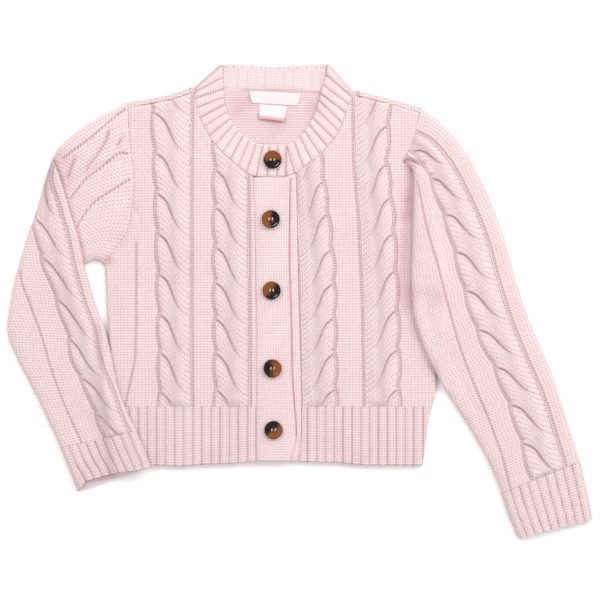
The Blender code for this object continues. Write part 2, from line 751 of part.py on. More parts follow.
def front_strip_ring(row, station, rib):
    """A cross-section of the neckband where it lies on top: outer side, inner side."""
    raised = 1 - float(smoothstep((station - OVER_STATION) / (RAMP_STATION - OVER_STATION)))
    under = FRONT_UNDER + (BAND_UNDER - FRONT_UNDER) * raised
    rib = 0.0 if station > COVERED_STATION else rib
    outer = under + BAND_WALL + rib
    return [(0.0, outer - BAND_EDGE_DROP), (0.06, outer), (0.94, outer),
            (1.0, outer - BAND_EDGE_DROP)], [(1.0, under), (0.0, under)]


def ring_points(row, profile, out=(0.0, 0.0)):
    """Points across the neckband from its free edge to its sewn one."""
    free, sewn = np.array(row[:2]), np.array(row[2:])
    return [(*(free + part * (sewn - free) + np.array(out)), z) for part, z in profile]


def fold_rings(row, turn_over):
    """Cross-sections round a shoulder fold, from the front strip down to the back one."""
    along = np.array(row[2:], float) - np.array(row[:2], float)
    along /= np.linalg.norm(along)
    outward = np.array([along[1], -along[0]])
    outward *= np.sign(outward[1])
    middle = (FRONT_UNDER + BAND_WALL) / 2
    rings = []
    for step in range(FOLD_TURNS + 1):
        angle = math.pi * step / FOLD_TURNS
        part = 1 - step / FOLD_TURNS
        outer = [(t, middle * math.cos(angle), middle * math.sin(angle), drop * part)
                 for t, drop in ((0.0, BAND_EDGE_DROP), (0.06, 0), (0.94, 0),
                                 (1.0, BAND_EDGE_DROP))]
        ring = []
        for t, rise, out, drop in outer:
            ring += ring_points(row, [(t, middle + rise - drop)], outward * out)
        for t in (1.0, 0.0):
            ring += ring_points(row, [(t, middle + GAP * math.cos(angle))],
                                outward * GAP * math.sin(angle))
        rings.append(ring)
    return rings[::-1] if turn_over else rings


def build_neckband():
    """One strip from its upper end round the neck to its lower end."""
    rings = []
    for station, rib in rib_stations(0, RIGHT_FOLD)[:-1]:
        row = neck_rows([station])[0] if station else np.array(NECKBAND[0], float)
        outer, inner = front_strip_ring(row, station, rib)
        rings.append(ring_points(row, outer + inner))
    rings += fold_rings(NECKBAND[RIGHT_FOLD], False)
    for station, rib in rib_stations(RIGHT_FOLD, LEFT_FOLD)[1:-1]:
        row = neck_rows([station])[0]
        shown = SHOWN_BACK[0] < station < SHOWN_BACK[1]
        top = BAND_WALL + (rib / RIB_RISE * BACK_RIB_RISE if shown else 0.0)
        rings.append(ring_points(row, [(0.0, 0.0), (0.06, 0.0), (0.94, 0.0), (1.0, 0.0),
                                       (1.0, top), (0.0, top)]))
    rings += fold_rings(NECKBAND[LEFT_FOLD], True)
    for station, rib in rib_stations(LEFT_FOLD, len(NECKBAND) - 1)[1:]:
        row = neck_rows([station])[0]
        outer, inner = front_strip_ring(row, station, rib)
        rings.append(ring_points(row, outer + inner))
    return add_rings("neckband", rings)


def add_rings(name, rings, colour=PINK, roughness=0.9):
    """A solid from cross-sections with the same number of points each."""
    size = len(rings[0])
    points = [p for ring in rings for p in ring]
    faces = []
    for r in range(len(rings) - 1):
        for k in range(size):
            a, b = r * size + k, r * size + (k + 1) % size
            faces += [(a, b, b + size), (a, b + size, a + size)]
    last = len(points) - size
    for k in range(1, size - 1):
        faces.append((0, k + 1, k))
        faces.append((last, last + k, last + k + 1))
    return add_object(name, points, faces, colour, roughness)


def build_bands():
    """The upper band slopes down to its seam; the lower band is flat."""
    seam = [(x + SEAM_GAP, y) for x, y in smooth(CLOSURE_RIGHT, 12) if y < 129]
    free = smooth(BAND_FREE_EDGE, 12)
    top_edge = [(-33, 128.4), (seam[0][0] + BAND_SLOPE, 128.6), (seam[0][0], 129.0)]
    hem_edge = [(seam[-1][0] + BAND_SLOPE, seam[-1][1])]
    outline = level(seam + hem_edge + list(free[::-1]) + top_edge, -BAND_EDGE_DROP)

    def slope(x, y):
        past_seam = x - float(np.interp(y, *np.array(seam)[::-1, ::-1].T))
        return BAND_SLOPE_DROP * (1 - float(smoothstep(past_seam / BAND_SLOPE)))

    ys = np.arange(-160, 126, 15)
    seam_x = [float(np.interp(y, *np.array(seam)[::-1, ::-1].T)) for y in ys]
    free_x = [float(np.interp(y, *np.array(free)[::-1, ::-1].T)) for y in ys]
    lines = []
    for column in range(2 * BAND_RIDGES + 1):
        part = (column + 0.5) / (2 * BAND_RIDGES + 1)
        rise = BAND_RIDGE_RISE if column % 2 == 0 else 0.0
        lines.append([(a + 1.4 + part * (b - a - 2.8), y, rise)
                      for a, b, y in zip(seam_x, free_x, ys)])
    bends = [[(a + part * BAND_SLOPE, y, 0.0) for a, y in zip(seam_x, ys)]
             for part in (0.35, 0.7, 1.0)]
    add_panel("buttonhole_band", outline, lines, bends,
              lambda x, y: BAND_UNDER - slope(x, y),
              lambda x, y: BAND_TOP - slope(x, y), 0.9)

    seam = [(x - SEAM_GAP, y) for x, y in smooth(CLOSURE_LEFT, 12) if y < 132]
    outline = [(BUTTON_BAND_FREE_X, hem_y(BUTTON_BAND_FREE_X))] + seam[::-1]
    outline += [p for p in BUTTON_BAND_TOP[::-1]]
    add_panel("button_band", level(outline, 0), [], [], lambda x, y: FRONT_UNDER,
              lambda x, y: FRONT_UNDER + BAND_WALL)


# ---------------------------------------------------------------- the sleeves

def sleeve_point(table, station, across):
    row = spline(table, station)[0]
    return tuple(row[0:2] + across * (row[2:4] - row[0:2]))


def sleeve_lines(table, first_crease, cuff, opening, purl_from, rise):
    """Cable, purl columns and cuff ribs of a sleeve. opening is how far the upper layer
    is short along the cuff, and rise what a fold of the sleeve adds at a station and a
    part of the way across."""
    stations = np.linspace(0, len(table) - 1, 20 * len(table))
    rows = spline(table, stations)
    middle = (rows[:, 0:2] + rows[:, 2:4]) / 2
    lengths = np.r_[0, np.cumsum(np.linalg.norm(np.diff(middle, axis=0), axis=1))]
    first, end = np.interp((first_crease, cuff - 0.2), stations, lengths)

    def place(start, across, drop):
        if not 0 <= start + drop < end:
            return None
        station = float(np.interp(start + drop, lengths, stations))
        row = spline(table, station)[0]
        part = row[5] + across * (row[6] - row[5])
        return (*sleeve_point(table, station, part), rise(station, part))

    starts = np.arange(first - SLEEVE_REPEAT, end, SLEEVE_REPEAT)
    lines = cable_lines(place, starts, [SLEEVE_REPEAT] * len(starts))

    marks = [float(np.interp(length, lengths, stations))
             for length in np.arange(0, end, LINE_STEP)]
    columns = ((5, -PURL_OFFSET, -PURL_DROP), (5, -FLAT_OFFSET, FLAT_RISE),
               (6, PURL_OFFSET, -PURL_DROP), (6, FLAT_OFFSET, FLAT_RISE),
               (4, -3.0, FLAT_RISE), (4, 0.0, -PURL_DROP), (4, 3.0, FLAT_RISE))
    for column, offset, height in columns:
        line = []
        for station in marks:
            row = spline(table, station)[0]
            width = np.linalg.norm(row[2:4] - row[0:2])
            part = row[column] + offset / width
            if station >= purl_from and row[column] > 0.05:
                x, y = sleeve_point(table, station, part)
                line.append((x, y, height + rise(station, part)))
        lines.append(line)

    last_run = lengths[-1] - float(np.interp(len(table) - 2, stations, lengths))
    for part, height in ribs_across(CUFF_RIBS):
        short = float(np.interp(part, *np.array(opening).T)) + RIM_MARGIN
        rib_end = len(table) - 1 - short / last_run
        lines.append([(*sleeve_point(table, station, part), height * share)
                      for station, share in ((cuff, 0.8), ((cuff + rib_end) / 2, 1.0),
                                             (rib_end, 0.9))])
    return [line for line in lines if line]


def cuff_section(table, opening):
    """A cuff's open end: its points, rib heights and how far its upper layer is short."""
    left, right = np.array(table[-1][0:2], float), np.array(table[-1][2:4], float)
    width = np.linalg.norm(right - left)
    parts = [(part, h) for part, h in ribs_across(CUFF_RIBS)
             if CORNER_MARGIN < part * width < width - CORNER_MARGIN]
    parts = [(0.0, 0.0)] + parts + [(1.0, 0.0)]
    points = [left + part * (right - left) for part, h in parts]
    short = np.interp([part for part, h in parts], *np.array(opening).T)
    return points, False, [h * 0.8 for part, h in parts], list(short)


def armhole_section(line):
    """A sleeve's open end along its seam to the body."""
    ends = (line[0], line[-1])
    points = [p for p in line if min(np.hypot(*(p - end)) for end in ends) > CORNER_MARGIN]
    points = [ends[0]] + points + [ends[1]]
    return points, False, [0.0] * len(points), [0.0] * len(points)


def fold_section(points):
    return np.asarray(points), True, [0.0] * len(points), [0.0] * len(points)


def body_lift(high, low):
    """Height of a sleeve over the body, coming in between two values of y."""
    def lift(x, y):
        away = distance_to(closed(BACK), [(x, y)])[0]
        away = -away if inside(BACK, [(x, y)])[0] else away
        near, far = LIFT_STEPS[0], LIFT_STEPS[-1]
        beside_body = 1 - float(smoothstep((away - near) / (far - near)))
        return BODY_LIFT * beside_body * float(smoothstep((high - y) / (high - low)))
    return lift


def lift_dots(edge):
    return [dot for away in LIFT_STEPS for dot in level(beside(edge, -away), 0)]


def edge_points(table, first, last, right, spacing):
    """A sleeve's left or right edge between two of its stations."""
    columns = slice(2, 4) if right else slice(0, 2)
    return evenly(spline(table, np.linspace(first, last, 120))[:, columns], spacing)


def build_sleeve_left():
    last = len(SLEEVE_LEFT) - 1
    armhole = beside(smooth(ARMHOLE_LEFT, 6), SEAM_GAP)
    left = edge_points(SLEEVE_LEFT, 0, last, False, 8)
    right = edge_points(SLEEVE_LEFT, last, 0, True, 8)
    armhole[0], armhole[-1] = right[-1], left[0]
    sections = (armhole_section(armhole), fold_section(left),
                cuff_section(SLEEVE_LEFT, CUFF_CLOSED), fold_section(right))
    lines = sleeve_lines(SLEEVE_LEFT, LEFT_FIRST_CREASE, LEFT_CUFF_STATION,
                         CUFF_CLOSED, LEFT_PURL_FROM, lambda station, part: 0.0)
    lines += [[(x, y, PLEAT_RISE) for x, y in PLEAT_CAP],
              [(x, y, -PLEAT_DROP) for x, y in PLEAT_VALLEY]]
    edge = np.vstack([evenly(SIDE_LEFT, 10)[::-1], evenly(ARMHOLE_LEFT_TUCKED, 10)[::-1]])
    add_sleeve("sleeve_left", sections, lines, lift_dots(edge), body_lift(*LEFT_LIFT_Y))


def build_sleeve_right():
    """The whole sleeve is one tube; its forearm's right edge is a roll that stands
    over the upper arm until it reaches the underarm."""
    last = len(FOREARM_RIGHT) - 1
    armhole = beside(smooth(ARMHOLE_RIGHT, 6)[::-1], SEAM_GAP)
    upper = np.vstack([smooth(UPPER_ARM_TOP, 8), edge_points(FOREARM_RIGHT, 0, last, False, 8)])
    lower = np.vstack([edge_points(FOREARM_RIGHT, last, RIDGE_STATION, True, 8),
                       smooth(UNDERARM_RIGHT, 6)[1:]])
    armhole[0], armhole[-1] = lower[-1], upper[0]
    sections = (armhole_section(armhole), fold_section(upper),
                cuff_section(FOREARM_RIGHT, CUFF_OPENING), fold_section(lower))

    def rise(station, part):
        past = float(smoothstep((station - RIDGE_STATION + 0.5) / 2.5))
        return FOREARM_ROLL * float(smoothstep((part - 0.1) / 0.9)) * (1 - past)

    lines = sleeve_lines(FOREARM_RIGHT, RIGHT_FIRST_CREASE, RIGHT_CUFF_STATION,
                         CUFF_OPENING, 0.5, rise)
    ridge = edge_points(FOREARM_RIGHT, 0.3, RIDGE_STATION, True, 8)
    lines = [[p for p in line if distance_to(ridge, [p[:2]])[0] > 3] for line in lines]
    lines = [line for line in lines if line]
    lines += [level(ridge, 0.0), level(beside(ridge, -FOREARM_STEP), FOREARM_ROLL)]
    lines += [level(purl, -PURL_DROP) for purl in UPPER_ARM_PURLS]
    for crease in UPPER_ARM_CREASES:
        lines.append(level(crease, 0.4))
        lines += [level(beside(crease, aside), UPPER_ARM_RISE) for aside in UPPER_ARM_STRANDS]
    edge = np.vstack([evenly(SIDE_RIGHT, 10), evenly(HEM_LINE, 10)[1:5]])
    add_sleeve("sleeve_right", sections, lines, lift_dots(edge), body_lift(*RIGHT_LIFT_Y))


# ---------------------------------------------------------------- buttons, labels

def circle(centre, radius, sides):
    turns = np.arange(sides) * (2 * math.pi / sides)
    return np.column_stack([centre[0] + radius * np.cos(turns),
                            centre[1] + radius * np.sin(turns)])


def build_button(number, x, y, z):
    """Turned from its profile, with a dish and four holes."""
    holes = [circle((sx * BUTTON_HOLE_OFFSET, sy * BUTTON_HOLE_OFFSET), BUTTON_HOLE_RADIUS,
                    BUTTON_HOLE_SIDES) for sx in (-1, 1) for sy in (-1, 1)]
    rings = [[(px, py, h) for px, py in circle((0, 0), radius, BUTTON_SIDES)]
             for radius, h in BUTTON_PROFILE]
    hole_low = [[(px, py, BUTTON_PROFILE[0][1]) for px, py in hole] for hole in holes]
    hole_high = [[(px, py, BUTTON_PROFILE[-1][1]) for px, py in hole] for hole in holes]
    points = [p for ring in rings + hole_low + hole_high for p in ring]
    faces = []
    for r in range(len(rings) - 1):
        for k in range(BUTTON_SIDES):
            a, b = r * BUTTON_SIDES + k, r * BUTTON_SIDES + (k + 1) % BUTTON_SIDES
            faces += [(a, b, b + BUTTON_SIDES), (a, b + BUTTON_SIDES, a + BUTTON_SIDES)]
    low_holes = len(rings) * BUTTON_SIDES
    high_holes = low_holes + 4 * BUTTON_HOLE_SIDES
    for ring, first_hole, turned in ((0, low_holes, True),
                                     (len(rings) - 1, high_holes, False)):
        own = list(range(ring * BUTTON_SIDES, (ring + 1) * BUTTON_SIDES))
        own += list(range(first_hole, first_hole + 4 * BUTTON_HOLE_SIDES))
        flat = [points[i][:2] for i in own]
        edges = [(BUTTON_SIDES + h * BUTTON_HOLE_SIDES + k,
                  BUTTON_SIDES + h * BUTTON_HOLE_SIDES + (k + 1) % BUTTON_HOLE_SIDES)
                 for h in range(4) for k in range(BUTTON_HOLE_SIDES)]
        filled = delaunay_2d_cdt(flat, edges, [list(range(BUTTON_SIDES))], 1, 1e-5)
        for face in filled[2]:
            ids = [filled[3][i][0] for i in face]
            in_hole = all(i >= BUTTON_SIDES for i in ids)
            same = len({(i - BUTTON_SIDES) // BUTTON_HOLE_SIDES for i in ids}) == 1
            if in_hole and same:
                continue
            corners = tuple(own[i] for i in ids)
            faces.append(corners[::-1] if turned else corners)
    for h in range(4):
        for k in range(BUTTON_HOLE_SIDES):
            a = low_holes + h * BUTTON_HOLE_SIDES + k
            b = low_holes + h * BUTTON_HOLE_SIDES + (k + 1) % BUTTON_HOLE_SIDES
            rise = 4 * BUTTON_HOLE_SIDES
            faces += [(b, a, a + rise), (b, a + rise, b + rise)]
    placed = [(px + x, py + y, pz + z) for px, py, pz in points]
    add_object(f"button_{number}", placed, faces, TORTOISE, 0.2, 35)


def build_label(name, corners, curl):
    """A thin woven strip; its lower edge curls up."""
    top_left, top_right, low_right, low_left = np.array(corners, float)
    rings = []
    for j in range(LABEL_COLUMNS + 1):
        across = j / LABEL_COLUMNS
        upper = top_left + across * (top_right - top_left)
        lower = low_left + across * (low_right - low_left)
        own = []
        for i in range(LABEL_ROWS + 1):
            down = i / LABEL_ROWS
            own.append((*(upper + down * (lower - upper)), curl * down ** 2.5))
        z = BACK_TOP + GAP
        rings.append([(x, y, z + LABEL_THICK + lifted) for x, y, lifted in own]
                     + [(x, y, z + lifted) for x, y, lifted in own[::-1]])
    add_rings(name, rings, LABEL_WHITE, 0.6)


def main():
    for leftover in list(bpy.data.objects):
        bpy.data.objects.remove(leftover)
    build_back()
    build_fronts()
    build_sleeve_right()
    build_sleeve_left()
    build_neckband()
    build_bands()
    on_neckband = BAND_TOP + RIB_RISE + GAP
    on_band = BAND_TOP + BAND_RIDGE_RISE + GAP
    for number, (x, y) in enumerate(BUTTON_PLACES, 1):
        build_button(number, x, y, on_neckband if number == 1 else on_band)
    build_label("label_main", LABEL_MAIN, 0.0)
    build_label("label_size", LABEL_SIZE, LABEL_CURL)


main()
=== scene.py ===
# %% [markdown]
# This lesson dresses the plain solids of a child's cable-knit cardigan, which lies
# flat on its back, in real knitting. The solids already hold each panel's outline,
# its cables and its ribs. Here every panel becomes a fine grid of points, so that
# strands, ribs and wales are true geometry, and a yarn material adds single stitches.

import math
from functools import partial

import bpy
import numpy as np
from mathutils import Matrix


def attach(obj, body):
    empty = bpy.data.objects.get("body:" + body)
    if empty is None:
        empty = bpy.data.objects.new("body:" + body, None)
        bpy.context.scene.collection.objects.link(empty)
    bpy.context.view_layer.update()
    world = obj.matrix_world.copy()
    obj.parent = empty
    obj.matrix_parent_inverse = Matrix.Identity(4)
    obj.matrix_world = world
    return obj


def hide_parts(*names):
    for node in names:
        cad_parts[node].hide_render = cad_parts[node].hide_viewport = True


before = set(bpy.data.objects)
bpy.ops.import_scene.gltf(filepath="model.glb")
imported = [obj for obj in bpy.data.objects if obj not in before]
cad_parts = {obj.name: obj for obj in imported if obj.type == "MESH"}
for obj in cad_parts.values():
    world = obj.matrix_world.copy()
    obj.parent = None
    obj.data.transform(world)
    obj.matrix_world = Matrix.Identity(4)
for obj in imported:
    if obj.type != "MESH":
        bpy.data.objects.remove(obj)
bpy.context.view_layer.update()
MM = 0.001

# %% [markdown]
# Knitting has a gauge: how wide one column of stitches (a wale) is, and how tall one
# row. The fronts have four points a wale and four a row, just enough for a stitch to
# have a shape of its own. The cloth lies in layers, whose heights follow from the
# wall's thickness and the gap between two walls.

# %% Gauge and layers, in millimetres
WALE = 3.6
ROW = 2.8
STEP_ACROSS = WALE / 4
STEP_ALONG = ROW / 4

WALL = 2.5             # thickness of the cloth
GAP = 0.3              # between two layers that lie on each other
SEAM_GAP = 0.04        # between two panels that are sewn together
BACK_TOP = WALL
FRONT_UNDER = BACK_TOP + GAP
FRONT_TOP = FRONT_UNDER + WALL
BAND_WALL = 2.2
BAND_UNDER = FRONT_UNDER + BAND_WALL + 2 * GAP
BAND_TOP = BAND_UNDER + BAND_WALL
FLAT_RISE = 0.6        # how far plain knitting stands above the wall
STITCH_RISE = 0.45     # how far a single stitch swells out of it
print("one stitch:", WALE, "by", ROW, "mm")

# %% [markdown]
# The outlines are the short tables that the solids were made from, a few points for
# each edge, so that the knitting sits exactly on the solids.

# %% Outlines, in millimetres
HEM_LINE = ((-188, -172), (-154, -171), (-125, -172), (-99, -170), (-68, -169), (-46, -167),
            (-2, -167), (20, -168), (37, -168), (66, -171), (127, -171))
SHOULDER_RIGHT = ((-113, 223), (-138, 215), (-180, 207))
SHOULDER_LEFT = ((57.5, 219.6), (93, 211), (125, 202))
SHOULDER_ROLL = 6.2
ARMHOLE_RIGHT = ((-180, 207), (-178, 167), (-174, 121), (-179, 79), (-191, 57), (-204, 38))
ARMHOLE_LEFT = ((125, 202), (119, 174), (107, 144))
ARMHOLE_LEFT_TUCKED = ((116, 134), (125, 133), (130, 105), (135, 63), (142, 30))
SIDE_RIGHT = ((-204, 38), (-202, 1), (-200, -42), (-198, -98), (-193, -129), (-188, -172))
SIDE_LEFT = ((142, 30), (143, -20), (142, -78), (139, -103), (134, -122), (127, -171))
CLOSURE_RIGHT = ((-49.5, 129), (-47, 43), (-46, -60), (-46, -167))
CLOSURE_LEFT = ((-4, 133), (-2, 30), (1, -90), (1, -139), (-2, -167))
BAND_FREE_EDGE = ((-11, 128), (-12, 43), (-10, -30), (-9, -78), (-6, -118), (-5, -139),
                  (-9, -160), (-12, -167))
NECKBAND = (
    # free x, free y, sewn x, sewn y
    (-15, 161, -15, 129), (-31, 162, -33, 129), (-41, 163, -49, 130), (-50, 166, -61, 137),
    (-60, 173, -74, 148), (-69, 183, -88, 161), (-75, 193, -98, 177), (-79, 207, -106, 193),
    (-80, 217, -109, 208), (-81, 232, -109.5, 217), (-81, 246, -108, 222),
    (-78, 246.5, -92, 219), (-70, 247, -73, 219), (-48, 246, -49, 221), (-25, 245, -26, 222),
    (0, 246, 0, 220), (19, 247, 19, 218), (26, 246.5, 40, 217), (28, 246, 52, 219),
    (27, 236, 54, 212), (24, 227, 51, 206), (21, 218, 48, 199), (19, 208, 43, 184),
    (13, 192, 36, 170), (3, 176, 19, 151), (-5, 168, 6, 141), (-14, 163, -5, 134),
    (-25, 160, -22, 129), (-38, 160, -38, 129),
)
NECK_FOLDS = (0, 10, 18, 28)          # stations that bound the neckband's three strips
print("stations round the neck:", len(NECKBAND), "folded at", NECK_FOLDS[1:3])

# %% [markdown]
# A Catmull-Rom spline makes a smooth edge through every point of a table. It is then
# divided evenly, because evenly spaced points make evenly sized faces.

# %% Curves through the tables
def spline(rows, at):
    """Values of a smooth curve through table rows, at fractional row numbers."""
    p = np.array(rows, float)
    padded = np.vstack([2 * p[0] - p[1], p, 2 * p[-1] - p[-2]])
    at = np.clip(np.atleast_1d(at), 0, len(p) - 1)
    i = np.minimum(at.astype(int), len(p) - 2)
    t = (at - i)[:, None]
    a, b, c, d = padded[i], padded[i + 1], padded[i + 2], padded[i + 3]
    return 0.5 * (2 * b + (c - a) * t + (2 * a - 5 * b + 4 * c - d) * t ** 2
                  + (3 * b - a - 3 * c + d) * t ** 3)


def evenly(line, spacing):
    """A polyline with its points at even distances."""
    line = np.array(line, float)
    along = np.r_[0, np.cumsum(np.linalg.norm(np.diff(line, axis=0), axis=1))]
    marks = np.linspace(0, along[-1], max(1, round(along[-1] / spacing)) + 1)
    return np.column_stack([np.interp(marks, along, axis) for axis in line.T])


def smooth(points, spacing=2.0):
    """A smooth curve through a few points, as a fine and even polyline."""
    if len(points) == 2:
        return evenly(points, spacing)
    fine = np.linspace(0, len(points) - 1, 20 * len(points))
    return evenly(spline(points, fine), spacing)


def beside(line, distance):
    """A polyline moved to the left of its own direction."""
    run = np.gradient(line, axis=0)
    run /= np.linalg.norm(run, axis=1)[:, None]
    return line + np.column_stack([-run[:, 1], run[:, 0]]) * distance


def neck_rows(stations):
    """The neckband's edges at stations of one strip."""
    strip = int(np.searchsorted(NECK_FOLDS, float(np.mean(stations)))) - 1
    first, last = NECK_FOLDS[strip], NECK_FOLDS[strip + 1]
    return spline(NECKBAND[first:last + 1], np.asarray(stations) - first)


def neck_seam(first, last):
    """The line along which the neckband is sewn on, between two of its stations."""
    return evenly(neck_rows(np.linspace(first, last, 80))[:, 2:], 2.0)


print("neck seam, mm:", round(float(np.linalg.norm(
    np.diff(neck_seam(0, 10), axis=0), axis=1).sum())), "along the right front")

# %% [markdown]
# Cloth has no hard steps. Three helpers serve all the way through: a soft step from 0
# to 1, the quarter circle of a rounded edge, and the distance from a seam or crease.

# %% Soft steps and distances
def smoothstep(t):
    """A soft step: 0 before 0, 1 after 1, and level at both."""
    t = np.clip(t, 0, 1)
    return t * t * (3 - 2 * t)


def rounding(distance, radius):
    """0 on an edge, rising to 1 at the radius, as a quarter circle does."""
    t = 1 - np.clip(distance / radius, 0, 1)
    return np.sqrt(1 - t * t)


def distance_to(line, x, y, block=8000):
    """Distance of each point of a grid from a polyline, in blocks to spare memory."""
    a, run = line[:-1], np.diff(line, axis=0)
    length = np.maximum((run ** 2).sum(1), 1e-12)
    out = np.empty(x.size)
    px, py = x.ravel(), y.ravel()
    for start in range(0, x.size, block):
        qx, qy = px[start:start + block, None], py[start:start + block, None]
        t = ((qx - a[:, 0]) * run[:, 0] + (qy - a[:, 1]) * run[:, 1]) / length
        t = np.clip(t, 0, 1)
        gap = (qx - a[:, 0] - t * run[:, 0]) ** 2 + (qy - a[:, 1] - t * run[:, 1]) ** 2
        out[start:start + block] = np.sqrt(gap.min(1))
    return out.reshape(x.shape)


print("a third of the way in, a rounded edge has", round(float(rounding(1, 3)), 2), "of its height")

# %% [markdown]
# A cable is a group of stitches that cross in front of the others at regular rows. Each
# strand leaves one edge, runs down across the cable and slips under the next one. One
# law says how far a crease has dropped when it is part of the way across. Height
# depends on two numbers, across and along, so that stitches can follow the strand.

# %% The law of a cable
CABLE_RISE = 3.1       # height of a strand above the wall
CABLE_REACH = 45.0     # how far a strand comes down on its way across
CABLE_WIDTH = 34.0     # of a usual cable, to count the rows on that way
STRAND_BEND = 0.55     # 0 is a straight strand, 1 is a full S
STRAND_WALES = 7


def crease_drop(across):
    """How far a crease has come down: slowly at both sides, steeply in the middle."""
    u = 2 * across - 1
    bend = STRAND_BEND * np.tanh(3.2 * (u + 0.06))
    return CABLE_REACH / 2 * (1 + (1 - STRAND_BEND) * u + bend)


def strand_rows(across):
    """Rows of stitches passed on the way across, from the length of the strand's path."""
    marks = np.linspace(0, 1, 200)
    steps = np.hypot(np.diff(marks) * CABLE_WIDTH, np.diff(crease_drop(marks)))
    return np.interp(across, marks, np.r_[0, np.cumsum(steps)]) / ROW


def strand_height(across, along):
    """Height of a strand: along is 0 just below one crease and 1 just above the next.
    It is steep where the strand begins and runs out gently at the cable's other edge."""
    across = np.clip(across, 0, 1)
    cross = rounding(across, 0.26) * (1 - 0.95 * smoothstep((across - 0.7) / 0.3))
    depth = 1 - 0.7 * smoothstep((across - 0.38) / 0.36)
    coming_out = 0.95 * depth * (1 - np.minimum(along / 0.5, 1)) ** 1.7
    tucked_end = 0.30 * depth * np.maximum((along - 0.76) / 0.24, 0) ** 2.2
    return CABLE_RISE * cross * (1 - coming_out - tucked_end)


def crease_shade(across, along):
    """Painted shade at a crease: a thin dark line, and a soft shade on the strand below."""
    deep = 0.85 * smoothstep(across / 0.06) * (1 - 0.84 * smoothstep((across - 0.42) / 0.26))
    deep *= smoothstep((1 - across) / 0.12)
    line = np.exp(-(np.minimum(along, 1 - along) / 0.034) ** 2)
    below = np.exp(-along / 0.13) + 0.5 * np.exp(-(1 - along) / 0.05)
    return deep * (0.58 * line + 0.29 * below)


def starts_to_count(y_start, starts):
    """Which strand, counted from the top, a starting height belongs to."""
    starts = np.array(starts, float)
    count = np.interp(-y_start, -starts, np.arange(len(starts)))
    above = (starts[0] - y_start) / (starts[0] - starts[1])
    below = len(starts) - 1 + (starts[-1] - y_start) / (starts[-2] - starts[-1])
    return np.where(y_start > starts[0], above, np.where(y_start < starts[-1], below, count))


print("a strand is", STRAND_WALES, "wales wide and", CABLE_RISE, "mm high")

# %% [markdown]
# A panel is a grid of rows and wales. Where a row passes the outline, its points are
# clamped to it, and points that fall together are merged, so the edge is exact on every
# row. Each point also carries its place in the knitting, which the material reads.

# %% From grids to a mesh
SAME_POINT = 0.002     # points closer than this are one point
SHARP_EDGE = 75        # in degrees; anything blunter is shaded smooth


def grid(x, y, z, wale, row, purl=0.0, hollow=0.0):
    """One surface as arrays of rows and columns; then its place in the knitting, and hollow, the
    painted shade that its colour gets.
    """
    blank = np.zeros_like(x)
    place = np.stack([wale + blank, row + blank, purl + blank], axis=-1)
    return {"p": np.stack([x, y, z + blank], axis=-1), "stitch": place,
            "hollow": hollow + blank}


def turned(surface):
    """The same surface, facing the other way."""
    return {key: value[::-1] for key, value in surface.items()}


def cloth_object(name, grids, material):
    """One mesh from several grids, joined where their points coincide."""
    points = np.vstack([g["p"].reshape(-1, 3) for g in grids])
    stitch = np.vstack([g["stitch"].reshape(-1, 3) for g in grids])
    hollow = np.concatenate([g["hollow"].ravel() for g in grids])
    faces, start = [], 0
    for g in grids:
        rows, columns = g["hollow"].shape
        n = start + np.arange(rows * columns).reshape(rows, columns)
        faces.append(np.stack([n[:-1, :-1], n[:-1, 1:], n[1:, 1:], n[1:, :-1]], -1)
                     .reshape(-1, 4))
        start += rows * columns
    keys = np.round(points / SAME_POINT).astype(np.int64)
    _, kept, merged = np.unique(keys, axis=0, return_index=True, return_inverse=True)
    faces = merged.ravel()[np.vstack(faces)]
    same = faces == np.roll(faces, -1, axis=1)
    doubled = same.sum(1)
    crossed = (faces[:, 0] == faces[:, 2]) | (faces[:, 1] == faces[:, 3])
    whole = faces[(doubled == 0) & ~crossed]
    cut = [np.delete(faces[(doubled == 1) & same[:, corner] & ~crossed], corner, axis=1)
           for corner in range(4)]
    mesh = bpy.data.meshes.new(name)
    mesh.from_pydata(points[kept] * MM, [], whole.tolist() + np.vstack(cut).tolist())
    # hollow is the painted shade that the yarn's colour gets at each point
    for label, values, kind, field in (("stitch", stitch[kept], "FLOAT_VECTOR", "vector"),
                                       ("hollow", hollow[kept], "FLOAT", "value")):
        layer = mesh.attributes.new(label, kind, "POINT")
        layer.data.foreach_set(field, values.astype(np.float32).ravel())
    mesh.materials.append(material)
    mesh.shade_smooth()
    mesh.set_sharp_from_angle(angle=math.radians(SHARP_EDGE))
    made = bpy.data.objects.new(name, mesh)
    bpy.context.scene.collection.objects.link(made)
    print(name, "faces:", len(mesh.polygons))
    return made


def dress(made, node):
    """Puts a piece in the place of its solid; the whole cardigan is one body."""
    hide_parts(node)
    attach(made, "root")
    return made


print("points are one when they are", SAME_POINT, "mm apart or less")

# %% [markdown]
# Light hardly reaches the bottom of thick knitting, so shade is painted into the hollows, darker and
# warmer.
# Every point carries how hollow it lies. A part is worked out from the relief, and the
# rest is a list of places where the laid cloth sinks or tucks under in the photo.

# %% Painted shade in the hollows
HOLLOW_REACH = 4.5     # how far round a point its neighbourhood goes


def mean_round(values, radius):
    """Each value's mean over a square of its neighbours."""
    for axis in (0, 1):
        size = values.shape[axis]
        reach = min(radius, (size - 1) // 2)
        total = np.cumsum(np.insert(values, 0, 0, axis=axis), axis=axis)
        low = np.clip(np.arange(size) - reach, 0, size)
        high = np.clip(np.arange(size) + reach + 1, 0, size)
        count = (high - low).reshape([-1 if a == axis else 1 for a in (0, 1)])
        values = (np.take(total, high, axis) - np.take(total, low, axis)) / count
    return values


def hollows(relief, depth=3.6):
    """How deep each point lies below its neighbourhood, from 0 to 1."""
    radius = round(HOLLOW_REACH / STEP_ACROSS)
    return np.clip((mean_round(relief, radius) - relief) / depth, 0, 1)


